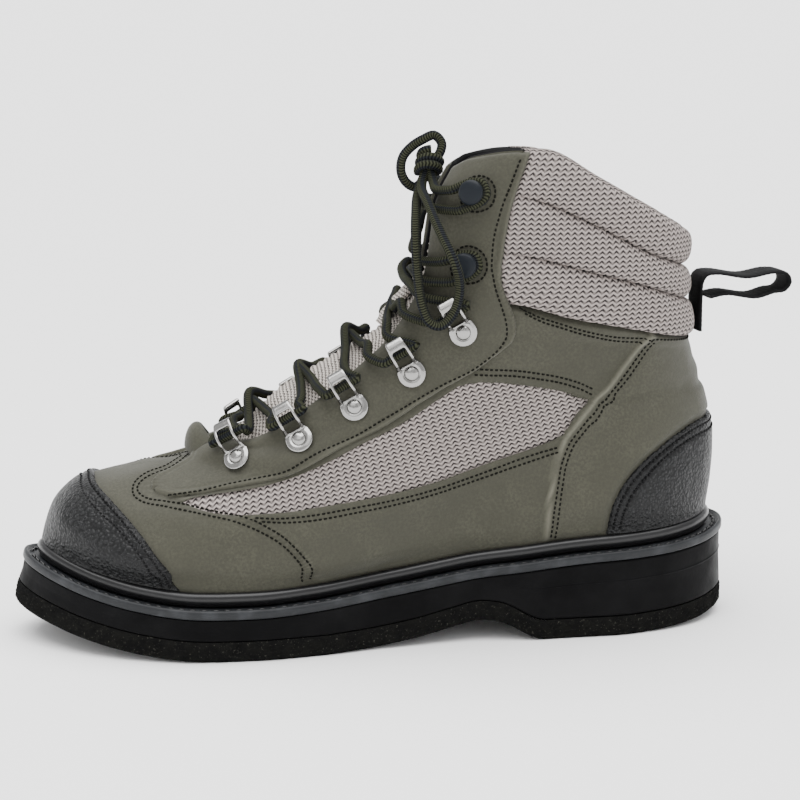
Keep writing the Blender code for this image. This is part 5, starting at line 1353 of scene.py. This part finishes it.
dome = [(0.0031, 0.0004), (0.0031, 0.0010), (0.0029, 0.0014), (0.0024, 0.0019),
        (0.0016, 0.00225), (0.0007, 0.0024)]
ringPoints, ringFaces = merged([ringMesh(), lathe(dome)])
hookProfile = [(0.0056, 0.0), (0.0058, 0.0004), (0.0056, 0.0010), (0.0046, 0.0014),
               (0.0028, 0.0017), (0.0023, 0.0024), (0.0022, 0.0050), (0.0025, 0.0057),
               (0.0044, 0.0060), (0.0051, 0.0064), (0.0052, 0.0070), (0.0049, 0.0077),
               (0.0040, 0.0082), (0.0024, 0.0084), (0.0008, 0.00845)]
hookPoints, hookFaces = lathe(hookProfile)
lean = np.clip((hookPoints[:, 2] - 0.003) / 0.005, 0.0, 1.0)
hookPoints = hookPoints + np.array([0.0010, 0.0, 0.0]) * lean[:, None]
hookPoints[:, 2] -= 0.10 * hookPoints[:, 0] * lean


# Stitched circle round a hook, on the flap, left open where it would cross the flap's edges
def hookStitches(point, rise, across, side):
    angle = np.linspace(0.0, 2.0 * np.pi, 60)
    circle = point + speedHook["stitchCircle"] * (np.cos(angle)[:, None] * rise
                                                  + np.sin(angle)[:, None] * across)
    turnNet, rowNet = np.meshgrid(np.linspace(0.5, 1.0, 90), np.linspace(10.5, rimRow, 120))
    cloud = form(side * turnNet, rowNet).reshape(-1, 3)
    near = np.array([np.argmin(((cloud - p) ** 2).sum(1)) for p in circle])

    def smooth(values):
        return np.convolve(np.concatenate([values[-4:-1], values, values[1:4]]),
                           np.ones(7) / 7, "valid")

    turn, row = smooth(turnNet.ravel()[near]), smooth(rowNet.ravel()[near])
    keep = (turn < 0.985) & (row < rimRow - 0.06)
    line = offset(side * turn, row, np.full(len(turn), gap + upper["overlay"] + 0.00005))
    order = np.arange(len(keep))
    if not keep.all():
        order = (order + int(np.argmin(keep))) % len(keep)
        order = order[keep[order]]
    stitches("hooks", line[order], outwardNormal(side * turn, row)[order], lift=0.0001)


for number, pair in enumerate(seats, 1):
    isHook = number > len(laceRing["places"])
    kind, ending, shapePoints, shapeFaces, finish, slotName = (
        ("hook", "stud", hookPoints, hookFaces, hookPlastic, "hook_plastic") if isHook
        else ("lace_ring", "metal", ringPoints, ringFaces, nickel, "nickel"))
    for (point, rise, normal), word, side in zip(pair, ("lateral", "medial"), (1.0, -1.0)):
        across = np.cross(normal, rise)
        points = (point + shapePoints[:, :1] * rise + shapePoints[:, 1:2] * across
                  + shapePoints[:, 2:] * normal)
        node = "%s_%s_%d" % (kind, word, number - len(laceRing["places"]) * isHook)
        piece = meshPiece("%s_%s" % (node, ending), points, shapeFaces, finish)
        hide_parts(node)
        if isHook:
            hookStitches(point, rise, across, side)
finishStitches("hooks", "hook_stitches", thread, "olive_leather", "eyestay")
print("stage: hardware")

# Lace: one cord from the knot down one side, over the vamp, and up the other
def laceStop(number, side):
    point, rise, normal = seats[number][0 if side > 0 else 1]
    along = np.cross(normal, rise)
    along *= np.sign(along[2])
    if number >= len(laceRing["places"]):
        lift = speedHook["baseThickness"] + lace["radius"] + lace["clear"] / 3.0
        low = point + normal * lift
        middle = point + rise * lace["away"] + normal * lift
        step = along * lace["turn"]
        turnRound = [low - step * 0.97, low - rise * 0.0042 - step * 0.55, low - rise * 0.0046,
                     low - rise * 0.0042 + step * 0.55, low + step * 0.97]
        return middle - step, -rise, middle + step, rise, turnRound
    middle = point + rise * lace["tunnel"] * laceRing["length"]
    middle = middle + normal * (laceRing["thickness"] + lace["radius"] + lace["clear"])
    step = along * laceRing["width"] * lace["step"]
    return middle - step, along, middle + step, along, [middle]


def aroundFlap(point, side):
    turns, rows = np.linspace(0.55, 0.9999, 46), np.linspace(throatRow + 0.1, rimRow - 0.2, 70)
    turnNet, rowNet = np.meshgrid(turns, rows)
    miss = np.linalg.norm(form(side * turnNet, rowNet) - point, axis=-1)
    i, j = np.unravel_index(np.argmin(miss), miss.shape)
    k = np.argmin(miss[:, -1])
    lift = gap + upper["overlay"] + lace["radius"] + lace["clear"] * 2.0
    return offset(side * (turns[j] + turns[-1]) / 2.0, (rows[i] + rows[k]) / 2.0, lift)


def edgeClear(point, side):
    rows = np.linspace(throatRow + 0.1, rimRow - 0.2, 64)
    edge = form(np.full(64, side), rows)
    out = outwardNormal(np.full(64, side), rows) + throatFrame(rows)[1]
    out = unit(out)
    k = np.argmin(np.linalg.norm(edge - point, axis=1))
    return edge[k] + out[k] * (gap + upper["overlay"] + lace["radius"] + lace["clear"] * 2.0)


def overThroat(first, last, shares, raised):
    rows = np.linspace(throatRow + 0.1, rimRow - 0.6, 64)
    out = throatFrame(rows)[1]
    arch = flow(*zip(*tongue["arch"]), rows)
    near = np.sign(first[1])
    edges = np.stack([form(np.full(64, near), rows), form(np.full(64, -near), rows)], axis=1)
    start = np.argmin(np.linalg.norm(edges[:, 0] - first, axis=1))
    stop = np.argmin(np.linalg.norm(edges[:, 1] - last, axis=1))
    points = [aroundFlap(first, near), edgeClear(first, near)]
    for share in shares:
        k = int(round(start + (stop - start) * (1.0 - share) / 2.0))
        middle = edges[k].mean(axis=0)
        lift = arch[k] * (1.0 - share ** 2) ** tongue["archPower"]
        lift = max(lift - upper["wall"] - tongue["clearance"], gap + upper["overlay"])
        lift = lift + lace["radius"] + lace["clear"] * 3.0
        lift += raised * (1.0 - share ** 2) ** 2
        points.append(middle + share * (edges[k, 0] - middle) + out[k] * lift)
    return points + [edgeClear(last, -near), aroundFlap(last, -near)]


def strand(side, raised):
    entry, into, leaving, away, through = laceStop(0, side)
    path = [*through, leaving]
    for number in range(1, len(seats)):
        start = leaving + away * lace["radius"]
        side = -side
        entry, into, nextLeaving, nextAway, through = laceStop(number, side)
        stop = entry - into * lace["radius"]
        lift = raised if number % 2 else -0.2 * raised
        path += [start, *overThroat(start, stop, (0.55, 0.0, -0.55), lift), stop, entry,
                 *through, nextLeaving]
        leaving, away = nextLeaving, nextAway
    start = leaving + away * lace["radius"]
    return path + [start, aroundFlap(start, side), edgeClear(start, side)]


knotMiddle = np.array([0.431, 0.149, 0.966]) * bootScale
first, second = laceStop(0, 1.0), laceStop(0, -1.0)
starts = [stop[0] - stop[1] * lace["radius"] for stop in (first, second)]
bar = [first[0], starts[0], *overThroat(*starts, (0.5, 0.0, -0.5), 0.0), starts[1], second[0]]
wholeLace = [knotMiddle + [0.0, 0.001, -0.002], *strand(1.0, 0.0034)[::-1], *bar,
             *strand(-1.0, 0.0), knotMiddle + [0.0, -0.001, -0.002]]
laceRoute = smoothPath(np.array(wholeLace), step=0.0013, samples=9000)
laceCord = sweep("lace", laceRoute, lace["radius"], laceCloth)
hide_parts("lace_bar", *("lace_crossing_%d" % n for n in range(1, 7)), "lace_knot")

# Knot: a few turns of the lace wound round the place where the loops leave it
angle = np.linspace(-0.4 * np.pi, 4.2 * np.pi, 60)
axis = unit(np.array([0.25, 0.55, -0.80]))
one = unit(np.cross(axis, (0.0, 1.0, 0.0)))
two = np.cross(axis, one)
wound = (knotMiddle + axis * np.linspace(-0.0042, 0.0042, 60)[:, None]
         + 0.0042 * (np.cos(angle)[:, None] * one + np.sin(angle)[:, None] * two))
knot = sweep("lace_knot_turns", wound, lace["radius"] * 0.98, laceCloth)
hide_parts("lace_knot")
print("stage: lace")

# Sole: closed rings from the model's own profile, denser and rounder
soleTurns = np.linspace(-1.0, 1.0, 521)[:-1]
halfTurns = np.linspace(0.0, 1.0, 121)


def soleRing(inset, height, turns=soleTurns):
    flat = outlinePoint(turns, inset)
    points = np.column_stack([flat, height(flat[:, 0])])
    return leanBack(points, floorHeight(points[:, 0]))


# Level patch from the lateral to the medial side of a ring
def solePatch(inset, height, columns):
    lateral, medial = soleRing(inset, height, halfTurns), soleRing(inset, height, -halfTurns)
    share = np.linspace(0.0, 1.0, columns)[None, :, None]
    grid = lateral[:, None] * (1.0 - share) + medial[:, None] * share
    grid[..., 2] = height(grid[..., 0].ravel()).reshape(grid.shape[:2])
    return grid


def soleBody(rings, patches):
    rings = np.array(rings)
    parts = [(rings.reshape(-1, 3),
              triangles(quads(*rings.shape[:2], closed=True)[:, ::-1]))]
    for grid, up in patches:
        faces = triangles(quads(*grid.shape[:2]))
        parts.append((grid.reshape(-1, 3), faces[:, ::-1] if up else faces))
    return merged(parts)


def feltTop(forward):
    return floorHeight(forward) + sole["felt"]


def rest(forward):
    return seatHeight(forward) - welt["thickness"]


feltRings = []
for share in np.linspace(0.0, 1.0, 15):
    inset = 0.0016 * (1.0 - min(1.0, share / 0.2)) ** 2 + 0.0006 * max(0.0, share - 0.9) / 0.1
    ring = soleRing(inset, lambda f: floorHeight(f) + sole["felt"] * share)
    if 0.05 < share < 0.99:
        out = unit(ring[:, :2] - outlinePoint(soleTurns, 0.004))
        rough = rng.normal(0.0, 0.00016, len(ring)) - 0.0002
        ring[:, :2] += out * rough[:, None]
    feltRings.append(ring)
points, faces = soleBody(feltRings, [(solePatch(0.0016, floorHeight, 25), False),
                                     (solePatch(0.0006, feltTop, 5), True)])
piece = meshPiece("felt_sole", points, faces, felt)
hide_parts("felt_outsole")

# Midsole: near the heel a faint parting line runs round the wall
midRings = []
partShare = 0.60 + 0.05 * np.cos(np.pi * soleTurns)
partFade = ease((0.42 - np.abs(soleTurns)) / 0.1)
for share in np.concatenate([[0.0, 0.015, 0.04], np.linspace(0.08, 0.50, 5),
                             np.linspace(0.53, 0.68, 16), np.linspace(0.72, 0.96, 4), [1.0]]):
    height = lambda f: feltTop(f) + gap + (rest(f) - feltTop(f) - 2.0 * gap) * share
    inset = 0.0004 + (welt["proud"] - 0.0004) * min(1.0, share / 0.5)
    inset = inset + 0.0008 * (1.0 - min(1.0, share / 0.03)) ** 2
    bulge = 0.00028 * np.exp(-((share - partShare) / 0.012) ** 2) * partFade
    ring = soleRing(inset, height)
    ring[:, :2] += unit(ring[:, :2] - outlinePoint(soleTurns, 0.004)) * bulge[:, None]
    midRings.append(ring)
inner = featherInset - gap + welt["ledge"]
midRings += [soleRing(inner + gap, lambda f: rest(f) - gap), soleRing(inner + gap, seatHeight)]
points, faces = soleBody(midRings, [(solePatch(0.0012, lambda f: feltTop(f) + gap, 5), False),
                                    (solePatch(inner + gap, seatHeight, 5), True)])
piece = meshPiece("midsole_wall", points, faces, rubber)
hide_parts("midsole")


# Welt in two rings: the grey band with its sunk channel, and the round black bead
def hoopPiece(name, profile, finish):
    rings = np.array([soleRing(inset, lambda f: base(f) + lift) for inset, base, lift in profile])
    rings = np.concatenate([rings, rings[:1]])
    faces = quads(*rings.shape[:2], closed=True)[:, ::-1]
    piece = meshPiece(name, rings.reshape(-1, 3), faces, finish)
    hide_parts("welt")


weltInset = welt["channelWidth"] + welt["beadWidth"]
channelFloor = -welt["channelDepth"]
hoopPiece("welt_band", (
    (0.0010, rest, 0.0), (0.0004, rest, 0.0002), (0.0, rest, 0.0008), (0.0, rest, 0.0020),
    (0.0, seatHeight, -0.0012), (0.0003, seatHeight, -0.0004), (0.0010, seatHeight, 0.0),
    (0.0015, seatHeight, -0.0001), (0.0018, seatHeight, channelFloor),
    (0.0022, seatHeight, channelFloor - 0.0003), (0.0050, seatHeight, channelFloor - 0.0003),
    (0.0054, seatHeight, channelFloor), (weltInset, seatHeight, channelFloor),
    (inner, seatHeight, channelFloor), (inner, rest, 0.0)), weltRubber)
beadAngles = np.linspace(-0.35 * np.pi, 0.98 * np.pi, 13)
hoopPiece("welt_bead", [
    (welt["channelWidth"] + 0.0026 - (0.0025 if a < np.pi / 2 else 0.0008) * np.cos(a), seatHeight,
     0.0030 + (0.0026 if a > 0 else 0.0034) * np.sin(a)) for a in beadAngles]
    + [(weltInset, seatHeight, -0.0004)], beadRubber)
for side in (1.0, -1.0):
    turns = side * np.linspace(0.0, 1.0, 900)
    line = soleRing(0.0036, lambda f: seatHeight(f) + channelFloor, turns)
    stitches("welt", spread(line, count=900), np.tile((0.0, 0.0, 1.0), (900, 1)),
             pitch=0.0047, share=0.72, radius=0.00058, lift=0.0001)
finishStitches("welt", "welt_stitches", beadRubber, "welt_rubber", "welt")
print("stage: sole")

# Pull loop: ribbed webbing from the cuff's back, out and back to its root
loopPath = (
    (0.000, 0.604), (0.000, 0.622), (0.000, 0.672), (0.010, 0.708), (0.060, 0.723),
    (0.180, 0.726), (0.510, 0.717), (0.800, 0.726), (0.940, 0.722), (0.980, 0.705),
    (0.920, 0.688), (0.800, 0.684), (0.610, 0.674), (0.280, 0.682), (0.100, 0.676))
table = np.array(loopPath)
reach = pullLoop["root"] + pullLoop["reach"]
route = smoothPath(np.column_stack([pullLoop["root"] - table[:, 0] * reach,
                                    np.zeros(len(table)), table[:, 1] * bootHeight]),
                   count=150)
along = unit(np.gradient(route, axis=0))
thick = np.column_stack([-along[:, 2], along[:, 1], along[:, 0]])
wide = np.array([-0.50, -0.47, -0.25, 0.0, 0.25, 0.47, 0.50, 0.47, 0.25, 0.0, -0.25, -0.47])
deep = np.array([0.0, 0.75, 1.0, 1.0, 1.0, 0.75, 0.0, -0.75, -1.0, -1.0, -1.0, -0.75])
rib = 1.0 + 0.10 * np.sin(2.0 * np.pi * np.arange(len(route)) / 3.0)
half = pullLoop["thickness"] / 2.0
points = (route[:, None] + wide[None, :, None] * np.array([0.0, pullLoop["width"], 0.0])
          + (deep * half)[None, :, None] * (thick * rib[:, None])[:, None])
faces = triangles(quads(*points.shape[:2], closed=True))
ends = [np.column_stack([np.zeros(10, int), np.arange(1, 11), np.arange(2, 12)])]
ends.append(ends[0][:, ::-1] + 12 * len(points) - 12)
piece = meshPiece("pull_loop_webbing", points.reshape(-1, 3), np.concatenate([faces, *ends]),
                  webbing)
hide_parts("pull_loop")
print("stage: pull loop")

# The insole stays as it is in the model
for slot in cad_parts["insole"].material_slots[:1]:
    slot.material = lining
